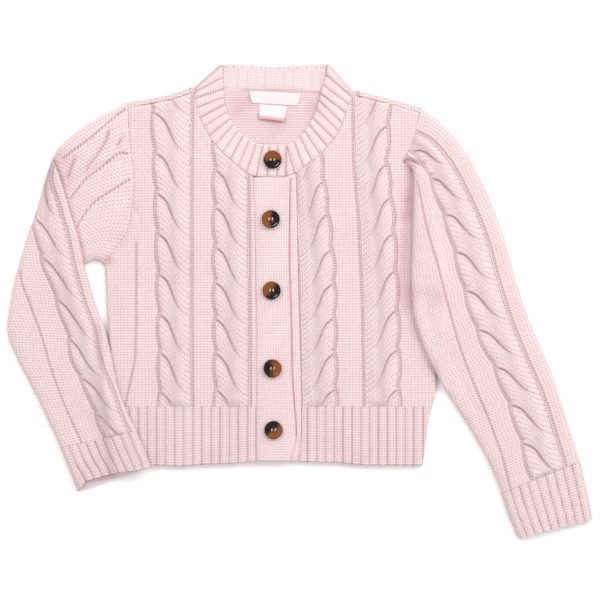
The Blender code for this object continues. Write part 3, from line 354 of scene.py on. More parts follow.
SHADED_PLACES = (
    # x, y, radius and strength: where the laid cloth sinks and less light gets in
    (110, 140, 4, 0.9), (117, 142, 4.5, 0.9), (111, 106, 6, 0.5), (112, 92, 6, 0.4),
    (107, 60, 9, 0.2), (108, 88, 6, 0.5), (108, 10, 10, 0.25), (116, -30, 12, 0.16),
    (140, -70, 8, 0.4), (142, 5, 12, 0.46), (123, 10, 8, 0.36), (-200, 43, 6, 0.8),
    (-186, 62, 13, 0.16), (-172, 100, 9, 0.16), (-248, 148, 11, 0.45), (-241, 128, 9, 0.2),
    (-205, -165, 24, 0.06), (-226, -188, 12, 0.16), (-178, -150, 14, 0.08),
    (-98, 205, 9, 0.25), (-92, 180, 9, 0.22), (24, 232, 8, 0.3), (30, 212, 8, 0.2),
    (-26, 188, 15, 0.45), (-64, 200, 12, 0.4), (14, 202, 11, 0.4), (-52, 210, 7, 0.4),
    (-28, 214, 16, 0.2), (-150, -165, 12, 0.12), (-90, -165, 12, 0.12),
    (60, -165, 12, 0.12), (110, -165, 12, 0.14),
)
SHADED_LINES = (
    # points, width and strength
    (((113, 134), (112, 108), (109, 70), (107, 30), (110, -6)), 6.5, 0.58),
    (((108, 146), (117, 143), (126, 138)), 2.8, 1.0),
    (((-10.6, 128), (-11.4, 43), (-9.4, -30), (-8.4, -78), (-5.4, -118), (-4.4, -139)), 1.3, 0.85),
    (((-17, 160), (-16.6, 146), (-16, 131)), 1.4, 0.6),
    (((-80, 222), (-54, 219.6), (-26, 219), (0, 218.6), (21, 216.6)), 1.6, 0.6),
    (((-172, 118), (-175, 84), (-188, 60)), 7.0, 0.2),
)


def soft_shade(x, y):
    """The painted shade of all those places and lines at each point."""
    lit = np.ones_like(x)
    for points, width, strength in SHADED_LINES:
        lit *= 1 - strength * np.exp(-(distance_to(smooth(points), x, y) / width) ** 2)
    for x0, y0, radius, strength in SHADED_PLACES:
        lit *= 1 - strength * np.exp(-((x - x0) ** 2 + (y - y0) ** 2) / radius ** 2)
    return 1 - lit


print("shaded by hand:", len(SHADED_PLACES), "places and", len(SHADED_LINES), "lines")

# %% [markdown]
# A knit stitch shows the two legs of a loop, like a V, and its other side, purl, shows
# a short bar. Both are heights that swell and sink with the place in the knitting, which
# costs less than bending a yarn through every loop. Slow waves keep the cloth uneven.

# %% The height of single stitches
def waves(x, y, size=0.35):
    """Slow unevenness of hand-laid cloth, from waves of unlike length."""
    total = np.sin(x / 17.0 + y / 41.0) + np.sin(y / 23.0 - x / 53.0 + 1.3)
    return size * (total + np.sin((x + y) / 31.0 + 2.1) + np.sin((x - 2 * y) / 61.0)) / 2


def knit_rise(wale, row):
    """A knit stitch's own height: two legs that lean apart, in every wale."""
    aside = np.abs(wale % 1 - 0.5) * 2
    leg = np.sin(np.pi * (0.26 + 0.72 * aside)) ** 0.9
    bead = 0.5 + 0.5 * np.cos(2 * np.pi * (row - 0.55 * aside))
    return STITCH_RISE * (0.25 + 0.4 * leg + 0.35 * bead)


def purl_rise(wale, row):
    """A purl stitch's height: short bars across that swing up and down in each wale."""
    swing = row + 0.2 * np.sin(2 * np.pi * wale)
    return STITCH_RISE * (0.6 + 0.4 * np.cos(2 * np.pi * swing))


def stitch_rise(wale, row, purl, relief):
    """A stitch's height, knit or purl; on raised strands it is stretched and lower."""
    rise = np.where(purl > 0.5, purl_rise(wale, row), knit_rise(wale, row))
    return rise * (1 - 0.5 * smoothstep((relief - 1.2) / 0.8))


print("highest stitch, mm:", STITCH_RISE)

# %% [markdown]
# Every material is a small tree of nodes. Colours are sRGB hex, as on the screen, and
# turned to the linear values that Blender works in. One function adds a node with its
# settings and inputs: numbers, colours, or outputs of other nodes, which it links.

# %% Colours and nodes
def linear(hex_colour):
    """A colour given as sRGB hex, as the linear values that Blender works in."""
    channels = [int(hex_colour[i:i + 2], 16) / 255 for i in (1, 3, 5)]
    return [c / 12.92 if c <= 0.04045 else ((c + 0.055) / 1.055) ** 2.4
            for c in channels] + [1.0]


def set_inputs(tree, node, inputs):
    """Sets a node's inputs by place or name, or links them."""
    for key, value in inputs.items():
        if isinstance(value, bpy.types.NodeSocket):
            tree.links.new(value, node.inputs[key])
        else:
            node.inputs[key].default_value = linear(value) if isinstance(value, str) else value


def add_node(tree, kind, inputs=(), output=0, **settings):
    """Adds a node with its settings and inputs, and gives one of its outputs."""
    node = tree.nodes.new("ShaderNode" + kind)
    for name, value in settings.items():
        setattr(node, name, value)
    set_inputs(tree, node, inputs if isinstance(inputs, dict) else dict(enumerate(inputs)))
    return node.outputs[output]


def new_material(name):
    """A material, its tree, the function that adds nodes to it, and its coordinates."""
    material = bpy.data.materials.new(name)
    material.use_nodes = True
    tree = material.node_tree
    add = partial(add_node, tree)
    return material, tree, add, add("TexCoord", output="Object")


def finish(tree, colour, roughness, normal, settings):
    """Sets the inputs of the shader that every new material has."""
    set_inputs(tree, tree.nodes["Principled BSDF"], {
        "Base Color": colour, "Roughness": roughness, "Normal": normal, **settings})


print("mid grey #808080 is linear", round(linear("#808080")[0], 3))

# %% [markdown]
# The yarn is a soft cotton and acrylic blend, spun, plied and knitted. It has no gloss
# but a faint sheen from loose fibres. Painted shade makes the gaps between stitches
# warmer and darker. Its stitches are drawn from the place that each point carries, so
# they follow the cables. Real plies are 0.5 mm wide and too fine to show, so these are
# 1.2 mm.

# %% Knitted yarn
# Painted shade for the ladder's gaps, right through the cloth between two loops
YARN_LADDER_SHADE = "#8d6066"  # right through the cloth, between two loops
# Painted shade: the first colour darkens hollows, creases and cloth under other cloth, the second
# the gaps between stitches, and also colours the darker specks
YARN_HOLLOW_SHADE, YARN_GAP_SHADE_AND_SPECKS, YARN, YARN_LIT = "#b07c84", "#c2a3a6", "#e5cecf", "#eedddd"
PLY = 1.2
FUZZ = 2.2             # size of the tufts of loose fibre
PATCH = 1000 / 22      # size of the places where the dye took a little lighter


def knitted_yarn(name, shade, stitch_depth):
    """Plain and purl stitches in one material; purl says which of them a point has."""
    material, tree, add, where = new_material(name)
    place = add("Attribute", output="Vector", attribute_name="stitch")
    wale, row, purl = add("SeparateXYZ", (place,)).node.outputs
    hollow = add("Attribute", output="Fac", attribute_name="hollow")

    # The two legs of a knit loop, and its beads of light from row to row
    aside = add("Math", (wale, 0.5), operation="PINGPONG")
    aside = add("Math", (aside, -2.0, 1.0), operation="MULTIPLY_ADD")
    leg = add("Math", (aside, 0.72 * math.pi, 0.26 * math.pi), operation="MULTIPLY_ADD")
    leg = add("Math", (leg,), operation="SINE")
    leg = add("Math", (leg, 0.02), operation="MAXIMUM")
    leg = add("Math", (leg, 0.6), operation="POWER")
    bead = add("Math", (aside, -0.55, row), operation="MULTIPLY_ADD")
    bead = add("Math", (bead, 2 * math.pi), operation="MULTIPLY")
    bead = add("Math", (bead,), operation="COSINE")
    bead = add("Math", (bead, 0.32, 0.21), operation="MULTIPLY_ADD")
    knit = add("Math", (leg, 0.58, bead), operation="MULTIPLY_ADD")

    # The bars of purl, which swing up and down from wale to wale
    bars = add("Math", (wale, 2 * math.pi), operation="MULTIPLY")
    bars = add("Math", (bars,), operation="SINE")
    bars = add("Math", (bars, 0.2, row), operation="MULTIPLY_ADD")
    bars = add("Math", (bars, 2 * math.pi), operation="MULTIPLY")
    bars = add("Math", (bars,), operation="COSINE")
    bars = add("Math", (bars, 0.35, 0.65), operation="MULTIPLY_ADD")
    height = add("Mix", {0: purl, 2: knit, 3: bars})

    # The ladder of gaps at both edges of a purl wale, where purl is neither 0 nor 1
    rungs = add("Math", (row, 2 * math.pi), operation="MULTIPLY")
    rungs = add("Math", (rungs,), operation="COSINE")
    rungs = add("Math", (rungs, 0.5, 0.5), operation="MULTIPLY_ADD")
    rising = add("Math", (purl, 2.4, -0.75), operation="MULTIPLY_ADD")
    rising = add("Math", (rising, 0.0), operation="MAXIMUM")
    rising = add("Math", (rising, 1.0), operation="MINIMUM")
    falling = add("Math", (purl, -8.0, 8.0), operation="MULTIPLY_ADD")
    falling = add("Math", (falling, 0.0), operation="MAXIMUM")
    ladder = add("Math", (rising, falling), operation="MINIMUM")
    ladder = add("Math", (rungs, ladder), operation="MULTIPLY")
    height = add("Math", (ladder, -0.5, height), operation="MULTIPLY_ADD")

    plies = add("TexNoise", {"Vector": where, "Scale": 1 / (PLY * MM), "Detail": 3.0})
    fuzz = add("TexNoise", {"Vector": where, "Scale": 1 / (FUZZ * MM), "Detail": 5.0,
                            "Roughness": 0.7})
    patches = add("TexNoise", {"Vector": where, "Scale": 1 / (PATCH * MM), "Detail": 2.0})

    # Colour: the dye's patches, painted shade in the gaps between stitches, random specks, then
    # painted shade in hollows and in the ladder's gaps
    colour = add("Mix", {0: patches, 6: YARN, 7: YARN_LIT}, 2, data_type="RGBA")
    # Painted shade between the stitches: the lower a point of a stitch, the nearer its colour comes
    # to the gap shade
    raised = add("Math", (height, 0.0), operation="MAXIMUM")
    raised = add("Math", (raised, 1.05), operation="MULTIPLY")
    colour = add("Mix", {0: raised, 6: shade, 7: colour}, 2, data_type="RGBA")
    specks = add("Math", (fuzz, -1.7, 0.95), operation="MULTIPLY_ADD")
    colour = add("Mix", {0: specks, 6: colour, 7: shade}, 2, data_type="RGBA")
    # Painted shade from the hollow value: hollows, creases, grooves, eyelets and cloth under other
    # cloth
    sunk = add("Math", (hollow, 1.4), operation="POWER")
    sunk = add("Math", (sunk, 0.7), operation="MULTIPLY")
    colour = add("Mix", {0: sunk, 6: colour, 7: YARN_HOLLOW_SHADE}, 2, data_type="RGBA")
    # Painted shade in the ladder's gaps
    holes = add("Math", (ladder, 0.72), operation="MULTIPLY")
    colour = add("Mix", {0: holes, 6: colour, 7: YARN_LADDER_SHADE}, 2, data_type="RGBA")

    bump = add("Bump", {"Height": height, "Strength": 0.9, "Distance": stitch_depth * MM})
    bump = add("Bump", {"Height": plies, "Strength": 0.35, "Distance": 0.35 * MM, "Normal": bump})
    bump = add("Bump", {"Height": fuzz, "Strength": 0.3, "Distance": 0.5 * MM, "Normal": bump})
    rough = add("Math", (fuzz, 0.12, 0.80), operation="MULTIPLY_ADD")
    finish(tree, colour, rough, bump, {
        "IOR": 1.5, "Specular IOR Level": 0.25, "Sheen Weight": 0.35,
        "Sheen Roughness": 0.55, "Sheen Tint": "#fff2f0"})
    return material


# The second value of each is painted shade in the gaps between stitches, and also the colour of the
# darker specks
yarn = knitted_yarn("knitted_cotton_acrylic", YARN_GAP_SHADE_AND_SPECKS, 0.6)
ribbed_yarn = knitted_yarn("ribbed_cotton_acrylic", "#d0b5b8", 0.5)
print("yarn materials:", yarn.name, "and", ribbed_yarn.name)

# %% [markdown]
# The hem, cuffs and neckband are ribbed: pairs of knit wales stand up as round columns,
# and the purl wales between them sink into grooves, 9.5 mm apart.

# %% Ribs
RIB_RISE = 1.0
RIB_PITCH = 9.5
GROOVE = 0.11          # half the width of a groove, as a part of the pitch
# Painted shade darkens the grooves of the hem and the cuffs; the next value is how much
RIB_SHADE = 0.2        # how dark the grooves of the hem and the cuffs are
RIB_BLEND = 5.0        # over which ribs turn into the knitting above


def rib_relief(count):
    """Height, wale number, purl share and shade at a rib number, which is whole in a groove."""
    u = count % 1
    side = np.minimum(u, 1 - u)
    crest = np.clip((side - GROOVE * 0.3) / (0.5 - GROOVE * 0.3), 0, 1)
    height = RIB_RISE * np.clip(1 - (1 - crest) ** 3.4, 0, 1)
    wale = np.floor(count) * 3 + 0.5 + (u - GROOVE) / (1 - 2 * GROOVE) * 2
    purl = smoothstep((GROOVE * 1.2 - side) / (GROOVE * 0.6))
    # Painted shade in the groove, a little uneven from rib to rib
    shade = np.exp(-(side * RIB_PITCH / 0.95) ** 2) * (0.75 + 0.25 * np.sin(2.4 * np.round(count)))
    return height, wale, purl, shade


def ribs_below(knitting, count, past, plain_row):
    """Turns knitting into ribs where it is past the top of a hem or cuff."""
    relief, wale, row, purl, shade = knitting
    rib, rib_wale, rib_purl, rib_shade = rib_relief(count)
    down = smoothstep((past + RIB_BLEND / 2) / RIB_BLEND)
    low = down > 0.5
    return (relief * (1 - down) + rib * down, np.where(low, rib_wale, wale),
            np.where(low, plain_row, row), np.where(low, rib_purl, purl),
            shade * (1 - down) + RIB_SHADE * rib_shade * down)


print("ribs every", RIB_PITCH, "mm")

# %% [markdown]
# Each front is worked from the hem up: ribs, then two cables with purl wales beside
# them and flat knitting between. A maker would knit both from one pattern, with the
# cables mirrored, and one function makes both here.

# %% Pattern of the fronts
HEM_LOW, HEM_TOP = -172.0, -110.0
PURL_OFFSET = 2.4      # from a cable's edge to the purl wale beside it
PURL_WIDTH = 1.5
PURL_DROP = 0.5
CABLE_BELLY = 2.6      # how far a strand bulges out of the cable where it begins
CABLES = {
    # y, left edge, right edge, from the top down
    "right_outer": ((215, -153, -114), (115, -149, -115), (1, -146, -115), (-106, -145, -114)),
    "right_inner": ((150, -88, -56), (40, -88, -55), (-106, -87, -54)),
    "left_inner": ((165, -9, 17), (89, -4, 27), (32, -1, 33), (-106, 2, 35)),
    "left_outer": ((215, 56, 91), (147, 57, 88), (84, 62, 95), (1, 66, 99), (-106, 68, 101)),
}
CREASES = {
    "right_outer": (237, 196, 154, 112, 70, 28, -14, -54, -95),
    "right_inner": (177, 136, 97, 56, 19, -19, -55, -93),
    "left_inner": (164, 124, 90, 53, 18, -18, -55, -92),
    "left_outer": (223, 182, 142, 107, 70, 31, -10, -51, -92),
}
SIDE_PURL_RIGHT = ((64, -171), (-20, -171), (-60, -172), (-106, -182))
print("cables:", ", ".join(CABLES))

# %% [markdown]
# In a cable a point gets the strand's height, and the strand's own count of wales and
# rows, so that the stitches turn with it. A purl wale beside it sinks between its
# neighbours, and gaps like the rungs of a ladder show there, one a row.

# %% Knitting over a front
def column_at(table, y, column=1):
    """A column of a table of heights y, between its rows."""
    rows = np.array(sorted(table), float)
    return np.interp(y, rows[:, 0], rows[:, column])


def groove(distance, width=PURL_WIDTH):
    """1 in the middle of a groove, and soon 0 beside it."""
    return np.exp(-(distance / width) ** 2)


def sink_purl(relief, purl, aside, row, shown):
    """Sinks a purl wale into the relief, with deeper gaps across it, one a row."""
    well = groove(aside) * shown
    ladder = np.clip(2.4 * well - 0.75, 0, 1) * (0.5 + 0.5 * np.cos(2 * np.pi * row))
    return relief - PURL_DROP * well - 0.4 * ladder, np.maximum(purl, well)


def panel_knitting(x, y, cables, mirrored, side_purl=None):
    """Relief, place in the knitting and purl share over a front."""
    relief = np.full(x.shape, FLAT_RISE)
    wale, row = x / WALE, y / ROW
    purl, shade = np.zeros(x.shape), np.zeros(x.shape)
    plain_row = row
    for cable in cables:
        left, right = column_at(CABLES[cable], y, 1), column_at(CABLES[cable], y, 2)
        belly = starts_to_count(y - 4, CREASES[cable]) % 1
        belly = CABLE_BELLY * (np.sin(np.pi * belly) ** 0.8 - 0.4)
        left, right = (left, right + belly) if mirrored else (left - belly, right)
        part = (x - left) / (right - left)
        across = 1 - part if mirrored else part
        within = (part > 0) & (part < 1)
        count = starts_to_count(y + crease_drop(np.clip(across, 0, 1)), CREASES[cable])
        fade = smoothstep((y - HEM_TOP + 2) / 9)
        lasts = 1 - smoothstep((count - len(CREASES[cable]) + 1) * 9)
        height = FLAT_RISE + (strand_height(across, count % 1) - FLAT_RISE) * lasts
        relief = np.where(within, height * fade, relief)
        shade = np.where(within, crease_shade(across, count % 1) * fade, shade)
        wale = np.where(within, count * STRAND_WALES, wale)
        row = np.where(within, strand_rows(across), row)
        for aside in (x - left + PURL_OFFSET, x - right - PURL_OFFSET):
            relief, purl = sink_purl(relief, purl, aside, plain_row, ~within)
    if side_purl:
        shown = smoothstep((side_purl[0][0] - y) / 4)
        aside = x - column_at(side_purl, y)
        relief, purl = sink_purl(relief, purl, aside, plain_row, shown)
    return relief, wale, row, purl, shade


def add_hem(x, y, x_first, x_last, knitting):
    """The knitting of a front, with the hem's ribs between two values of x."""
    pitch = (x_last - x_first) / round((x_last - x_first) / RIB_PITCH)
    return ribs_below(knitting, (x - x_first) / pitch, HEM_TOP - y, y / ROW)


print("strand 0 of the first cable begins at y =", CREASES["right_outer"][0], "mm")

# %% [markdown]
# For each row of a panel the two outline crossings are looked up. A skirt of points
# runs down from the edge to the underside, so that the panel is a thin closed shell.

# %% Clamped panels
SEAM_PULL = 2.4        # how far from a seam the knitting is drawn in by it


def edge_x(line, ys):
    """x of a line at each y; the line's points are sorted upwards first."""
    line = np.asarray(line, float)
    order = np.argsort(line[:, 1], kind="stable")
    return np.interp(ys, line[order, 1], line[order, 0])


def clamped(ys, left, right, step):
    """Grid of x and y whose columns stand still and stop at the row's two ends."""
    first = math.floor(left.min() / step) * step
    columns = np.arange(first, right.max() + step, step)
    x = np.clip(columns[None, :], left[:, None], right[:, None])
    return x, np.repeat(ys[:, None], len(columns), axis=1)


def with_skirt(surface, under):
    """A surface with a border of points dropped from its edge to the underside."""
    out = {}
    for key, value in surface.items():
        pad = [(1, 1), (1, 1)] + [(0, 0)] * (value.ndim - 2)
        out[key] = np.pad(value, pad, mode="edge")
    low = under(out["p"][..., 0], out["p"][..., 1])
    rim = np.ones(low.shape, bool)
    rim[1:-1, 1:-1] = False
    out["p"][..., 2] = np.where(rim, low, out["p"][..., 2])
    return out


def thinned(values, every):
    """A grid with fewer different columns inside, while its border keeps every point."""
    count = values.shape[1]
    nearest = np.minimum((np.arange(count) + every // 2) // every * every, count - 1)
    nearest[-1] = count - 1
    out = values[:, nearest]
    out[0], out[-1] = values[0], values[-1]
    return out


def underside(surface, under, every):
    """The plain side of a panel: the same border, and few columns inside."""
    x, y = (thinned(surface["p"][..., axis], every) for axis in (0, 1))
    return turned(grid(x, y, under(x, y), x / WALE, y / ROW, 1.0))


def seam_valley(away):
    """The part of its relief that knitting keeps beside a seam, which draws it in."""
    return 0.35 + 0.65 * smoothstep(away / SEAM_PULL)


print("beside a seam", round(100 * float(seam_valley(0))), "% of the relief is left")

# %% [markdown]
# Cloth never lies quite square, so the lowest rows are bent to the hem's own line. The
# creases of the laid cloth are given as lines with a depth and a width, since
# a simulation would put them in other places than the photograph has them.

# %% Hem line and creases
def hem_y(x):
    """The hem's height in the plan at each x."""
    line = np.array(HEM_LINE, float)
    return np.interp(x, line[:, 0], line[:, 1])


def shape_hem(x, y):
    """Moves the lowest rows on to the hem's own line."""
    part = smoothstep((HEM_TOP - y) / (HEM_TOP - HEM_LOW))
    return y + (hem_y(x) - HEM_LOW) * part


def laid_creases(x, y, creases):
    """Soft troughs (minus) and folds (plus); each row is points, depth and width."""
    total = np.zeros(x.shape)
    for points, depth, width in creases:
        line = smooth(points)
        ends = np.minimum(np.hypot(x - line[0][0], y - line[0][1]),
                          np.hypot(x - line[-1][0], y - line[-1][1]))
        total += depth * groove(distance_to(line, x, y), width) * smoothstep(ends / 14 + 0.25)
    return total


FRONT_CREASES = (
    (((114, 126), (112, 100), (108, 62), (107, 20)), -1.0, 4.5),
    (((-177, 101), (-169, 88), (-166, 70)), -0.7, 3.0),
    (((-170, 114), (-162, 103), (-160, 92)), -0.5, 3.0),
    (((-196, 20), (-186, 4), (-182, -22)), 0.5, 6.0),
    (((110, -20), (116, -52), (124, -80)), -0.6, 6.0),
    (((-170, 186), (-158, 172), (-157, 150)), -0.4, 5.0),
    (((104, 186), (98, 168), (97, 150)), 0.5, 5.0),
)
print("creases on the fronts:", len(FRONT_CREASES))

# %% [markdown]
# One function knits both fronts. It adds up the height of the layer below, the strands
# and ribs, the stitches and the waves. At the hem and the side seam the edge is rounded,
# and each rib ends in a small scallop. The plain side has few points, as it is hidden.

# %% A front panel
SIDE_ROUND, SIDE_DROP = 5.0, 1.7
EDGE_ROUND, EDGE_DROP = 1.8, 0.5
SCALLOP = 7.0          # how far up from the hem the scallops reach
UNDER_EVERY = 24       # of the fine columns, one is kept inside the plain side


def front_panel(name, left_line, right_line, side, cables, mirrored, side_purl, lift):
    """A front between two side lines, in the place of the solid with that name."""
    ys = np.arange(HEM_LOW, min(left_line[:, 1].max(), right_line[:, 1].max()), STEP_ALONG)
    x, y = clamped(ys, edge_x(left_line, ys), edge_x(right_line, ys), STEP_ACROSS)
    knitting = panel_knitting(x, y, cables, mirrored, side_purl)
    first, last = x[0].min(), x[0].max()
    relief, wale, row, purl, shade = add_hem(x, y, first, last, knitting)
    # Painted shade: hollows of the relief, creases of the cables and the listed places
    dark = np.clip(hollows(relief) + shade + soft_shade(x, y), 0, 1)
    from_hem = y - y[0]
    ribs = round((last - first) / RIB_PITCH)
    down = 0.9 * rib_relief((x - first) / (last - first) * ribs)[0] / RIB_RISE
    y = shape_hem(x, y) + (0.5 - down) * smoothstep(1 - from_hem / SCALLOP)
    away = np.minimum(distance_to(left_line, x, y), distance_to(right_line, x, y))
    from_side = distance_to(side, x, y)
    stitch = stitch_rise(wale, row, purl, relief)
    full = seam_valley(away) * rounding(from_hem, EDGE_ROUND)
    relief = relief + laid_creases(x, y, FRONT_CREASES)
    z = FRONT_TOP + lift(x) + (relief + stitch) * full + waves(x, y) * full
    z -= SIDE_DROP * (1 - rounding(from_side, SIDE_ROUND)) + EDGE_DROP * (1 - full)
    # Painted shade also falls on the rounded edges and in the seam valleys
    top = grid(x, y, z, wale, row, purl, np.maximum(dark, 0.3 * (1 - full)))

    def under(px, py):
        return FRONT_UNDER + lift(px)

    shell = [with_skirt(top, under), underside(top, under, UNDER_EVERY)]
    return dress(cloth_object("knitted_" + name, shell, yarn), name)


print("a front's plain side keeps one column in", UNDER_EVERY)

# %% [markdown]
# The fronts' shoulder edges stop where the back's cloth rolls over, and the left
# armhole runs on under the sleeve. The right front rises a little to meet its band. The
# flat sizes are what a maker would knit, from hem to shoulder.

# %% The fronts
SEAM_LIFT, SEAM_LIFT_WIDTH = 1.2, 9.0


def seam_lift(x):
    """The right front's rise to the band that lies on the other one."""
    start = CLOSURE_RIGHT[0][0] - SEAM_LIFT_WIDTH
    return SEAM_LIFT * smoothstep((x - start) / SEAM_LIFT_WIDTH)


def no_lift(x):
    """The left front lies flat all over."""
    return np.zeros_like(x)


def trimmed(line, below):
    """The part of a line that lies below a height in the plan."""
    return line[line[:, 1] < below]


drop = SHOULDER_ROLL - 0.1           # the front ends just inside the back's roll
right_shoulder = beside(smooth(SHOULDER_RIGHT), drop)
right_left = np.vstack([right_shoulder[3:],
                        trimmed(smooth(ARMHOLE_RIGHT), right_shoulder[-1][1] - 0.5),
                        smooth(SIDE_RIGHT)[1:]])
right_right = np.vstack([smooth(CLOSURE_RIGHT)[::-1],
                         beside(neck_seam(2.0, 9.0), SEAM_GAP)])
front_right = front_panel(
    "front_right", right_left, right_right, smooth(SIDE_RIGHT),
    ("right_outer", "right_inner"), False, SIDE_PURL_RIGHT, seam_lift)

left_shoulder = beside(smooth(SHOULDER_LEFT)[::-1], drop)
left_right = np.vstack([smooth(SIDE_LEFT)[::-1], smooth(ARMHOLE_LEFT_TUCKED)[::-1][1:-1],
                        trimmed(smooth(ARMHOLE_LEFT), left_shoulder[0][1] - 0.5)[::-1],
                        left_shoulder[:-1]])
left_left = np.vstack([smooth(CLOSURE_LEFT)[::-1], beside(neck_seam(25.95, 19.0), -SEAM_GAP)])
front_left = front_panel(
    "front_left", left_left, left_right, smooth(SIDE_LEFT),
    ("left_inner", "left_outer"), True, None, no_lift)
print("fronts:", front_right.name, front_left.name)

# %% [markdown]
# The back's rows follow the hem below and the shoulders and neck above, so its grid is
# bent, and where each bent row meets the side seams is found in a few rounds.

# %% The back's outline
TOP_Y = 223.0
BEND_FROM = 160.0      # above this the rows bend to the shoulders
neck_at_back = beside(neck_seam(NECK_FOLDS[2] - 0.05, NECK_FOLDS[1] + 0.05), SEAM_GAP)
# The loop runs counter-clockwise from the left end of the hem
BACK_LOOP = np.vstack([
    evenly(HEM_LINE, 8), smooth(SIDE_LEFT)[::-1][1:], smooth(ARMHOLE_LEFT_TUCKED)[::-1][1:],
    smooth(ARMHOLE_LEFT)[::-1], smooth(SHOULDER_LEFT)[::-1][1:], neck_at_back,
    smooth(SHOULDER_RIGHT), smooth(ARMHOLE_RIGHT)[1:], smooth(SIDE_RIGHT)[1:-1]])
back_top_line = np.vstack([smooth(SHOULDER_RIGHT)[::-1], neck_at_back[::-1],
                           smooth(SHOULDER_LEFT)])
back_left_line = np.vstack([smooth(ARMHOLE_RIGHT), smooth(SIDE_RIGHT)[1:]])
back_right_line = np.vstack([smooth(ARMHOLE_LEFT), smooth(ARMHOLE_LEFT_TUCKED)[1:],
                             smooth(SIDE_LEFT)[1:]])


def shape_back(x, y):
    """Bends the grid's rows to the hem below and to the shoulders and neck above."""
    top = np.interp(x, back_top_line[:, 0], back_top_line[:, 1])
    return shape_hem(x, y) + (top - TOP_Y) * smoothstep((y - BEND_FROM) / (TOP_Y - BEND_FROM))


def back_grid(ys, columns):
    """Rows between the back's two side lines, found where each bent row meets them."""
    ends = []
    for line in (back_left_line, back_right_line):
        at = edge_x(line, ys)
        for _ in range(4):
            at = edge_x(line, shape_back(at, ys))
        ends.append(at)
    x = np.clip(columns[None, :], ends[0][:, None], ends[1][:, None])
    return x, shape_back(x, np.repeat(ys[:, None], len(columns), axis=1))


print("back outline points:", len(BACK_LOOP))

# %% [markdown]
# The back's inside, which shows in the neck, is purl: short bumps, row upon row. The
# grid is fine there and coarse under the fronts. At the shoulders the cloth rolls over
# to the front. The outside below has the hem's ribs and one soft fold pressed into it.

# %% The back
ROLL_WIDTH = 6.0
NECK_SHOWS = (-112.0, 56.0)
NECK_LOW = 155.0       # below this the fronts hide the back
HIDDEN_STEP = 0.75 * WALE
OUTSIDE_EVERY = 4


def roll_height(x, y):
    """The back's upper side: plain, but rolled up along the two shoulders."""
    away = np.minimum(distance_to(smooth(SHOULDER_RIGHT)[4:], x, y),
                      distance_to(smooth(SHOULDER_LEFT)[4:], x, y))
    rolled = BACK_TOP + (FRONT_TOP - BACK_TOP) * (0.45 + 0.55 * rounding(away, 1.6))
    return np.where(away > ROLL_WIDTH, BACK_TOP, rolled), away <= ROLL_WIDTH


def build_back():
    """The back: its upper side with the neck and the rolls, and its outside below."""
    ys = np.r_[np.arange(HEM_LOW, NECK_LOW, 2 * ROW),
               np.arange(NECK_LOW + 2, TOP_Y, STEP_ALONG), TOP_Y]
    fine = np.arange(NECK_SHOWS[0], NECK_SHOWS[1], STEP_ACROSS)
    columns = np.r_[np.arange(-206, NECK_SHOWS[0], HIDDEN_STEP), fine,
                    np.arange(NECK_SHOWS[1], 148, HIDDEN_STEP)]
    x, y = back_grid(ys, columns)
    height, rolled = roll_height(x, y)
    wale, row = x / WALE, y / ROW
    away = distance_to(BACK_LOOP, x, y)
    bumps = 0.7 * purl_rise(wale, row) * smoothstep((y - NECK_LOW) / 8) * (away > 0.8)
    z = height + np.where(rolled, 0.5 * knit_rise(wale, row), np.minimum(bumps, 0.28))
    # Painted shade: a little all over the back's inside, and more at the listed places
    dark = np.clip(0.12 + soft_shade(x, y), 0, 1)
    top = grid(x, y, z, wale, row, np.where(rolled, 0.0, 1.0), dark)

    x, y = thinned(x, OUTSIDE_EVERY), thinned(y, OUTSIDE_EVERY)
    rib, rib_wale, rib_purl, _ = rib_relief((x - HEM_LINE[0][0]) / RIB_PITCH)
    low, away = y < HEM_TOP, distance_to(BACK_LOOP, x, y)
    sunk = np.where(low, 0.5 * (RIB_RISE - rib), 0.12 + 0.12 * np.cos(2 * np.pi * x / WALE))
    sunk += 0.4 * groove(np.abs(y + 0.35 * x - 60), 9) * ~low
    sunk *= (away > 3) & (x > x[:, :1] + 0.01) & (x < x[:, -1:] - 0.01)
    sunk[0], sunk[-1] = 0, 0
    # The outside's grooves and its soft fold get painted shade too
    below = grid(x, y, sunk, np.where(low, rib_wale, x / WALE), y / ROW,
                 np.where(low, rib_purl, 0.0), np.clip(sunk, 0, 1) * 0.6)

    def floor_level(px, py):
        return np.zeros_like(px)

    shell = [with_skirt(top, floor_level), turned(below)]
    return dress(cloth_object("knitted_back", shell, yarn), "back")


back = build_back()
print("the back's roll is", ROLL_WIDTH, "mm wide")

# %% [markdown]
# A sleeve is a tube that lies flat: an upper and a lower wall that meet in two folds,
# with a thin hollow between them. Its tables give both folds, a purl column and the
# cable at stations from the armhole to the cuff.

# %% Sleeves: sizes
SLEEVE_LEFT = (
    # left x, left y, right x, right y, purl, cable left, cable right
    (107.7, 144, 125.6, 202, 0.00, 0.25, 0.55), (117, 134, 151, 182, 0.03, 0.30, 0.62),
    (117, 105, 173, 154, 0.12, 0.38, 0.72), (116, 63, 194, 114, 0.20, 0.46, 0.78),
    (115, 27, 210, 72, 0.28, 0.50, 0.82), (118, -15, 222, 30, 0.33, 0.53, 0.83),
    (132, -57, 236, -14, 0.31, 0.53, 0.83), (151, -93, 252, -52, 0.27, 0.53, 0.82),
    (174, -129, 267, -90, 0.22, 0.49, 0.82), (194, -164, 279, -129, 0.17, 0.45, 0.81),
    (207, -194, 289, -160, 0.12, 0.40, 0.80), (216, -221, 297, -193, 0.12, 0.40, 0.80),
    (227, -247, 304, -227, 0.12, 0.40, 0.80),
)
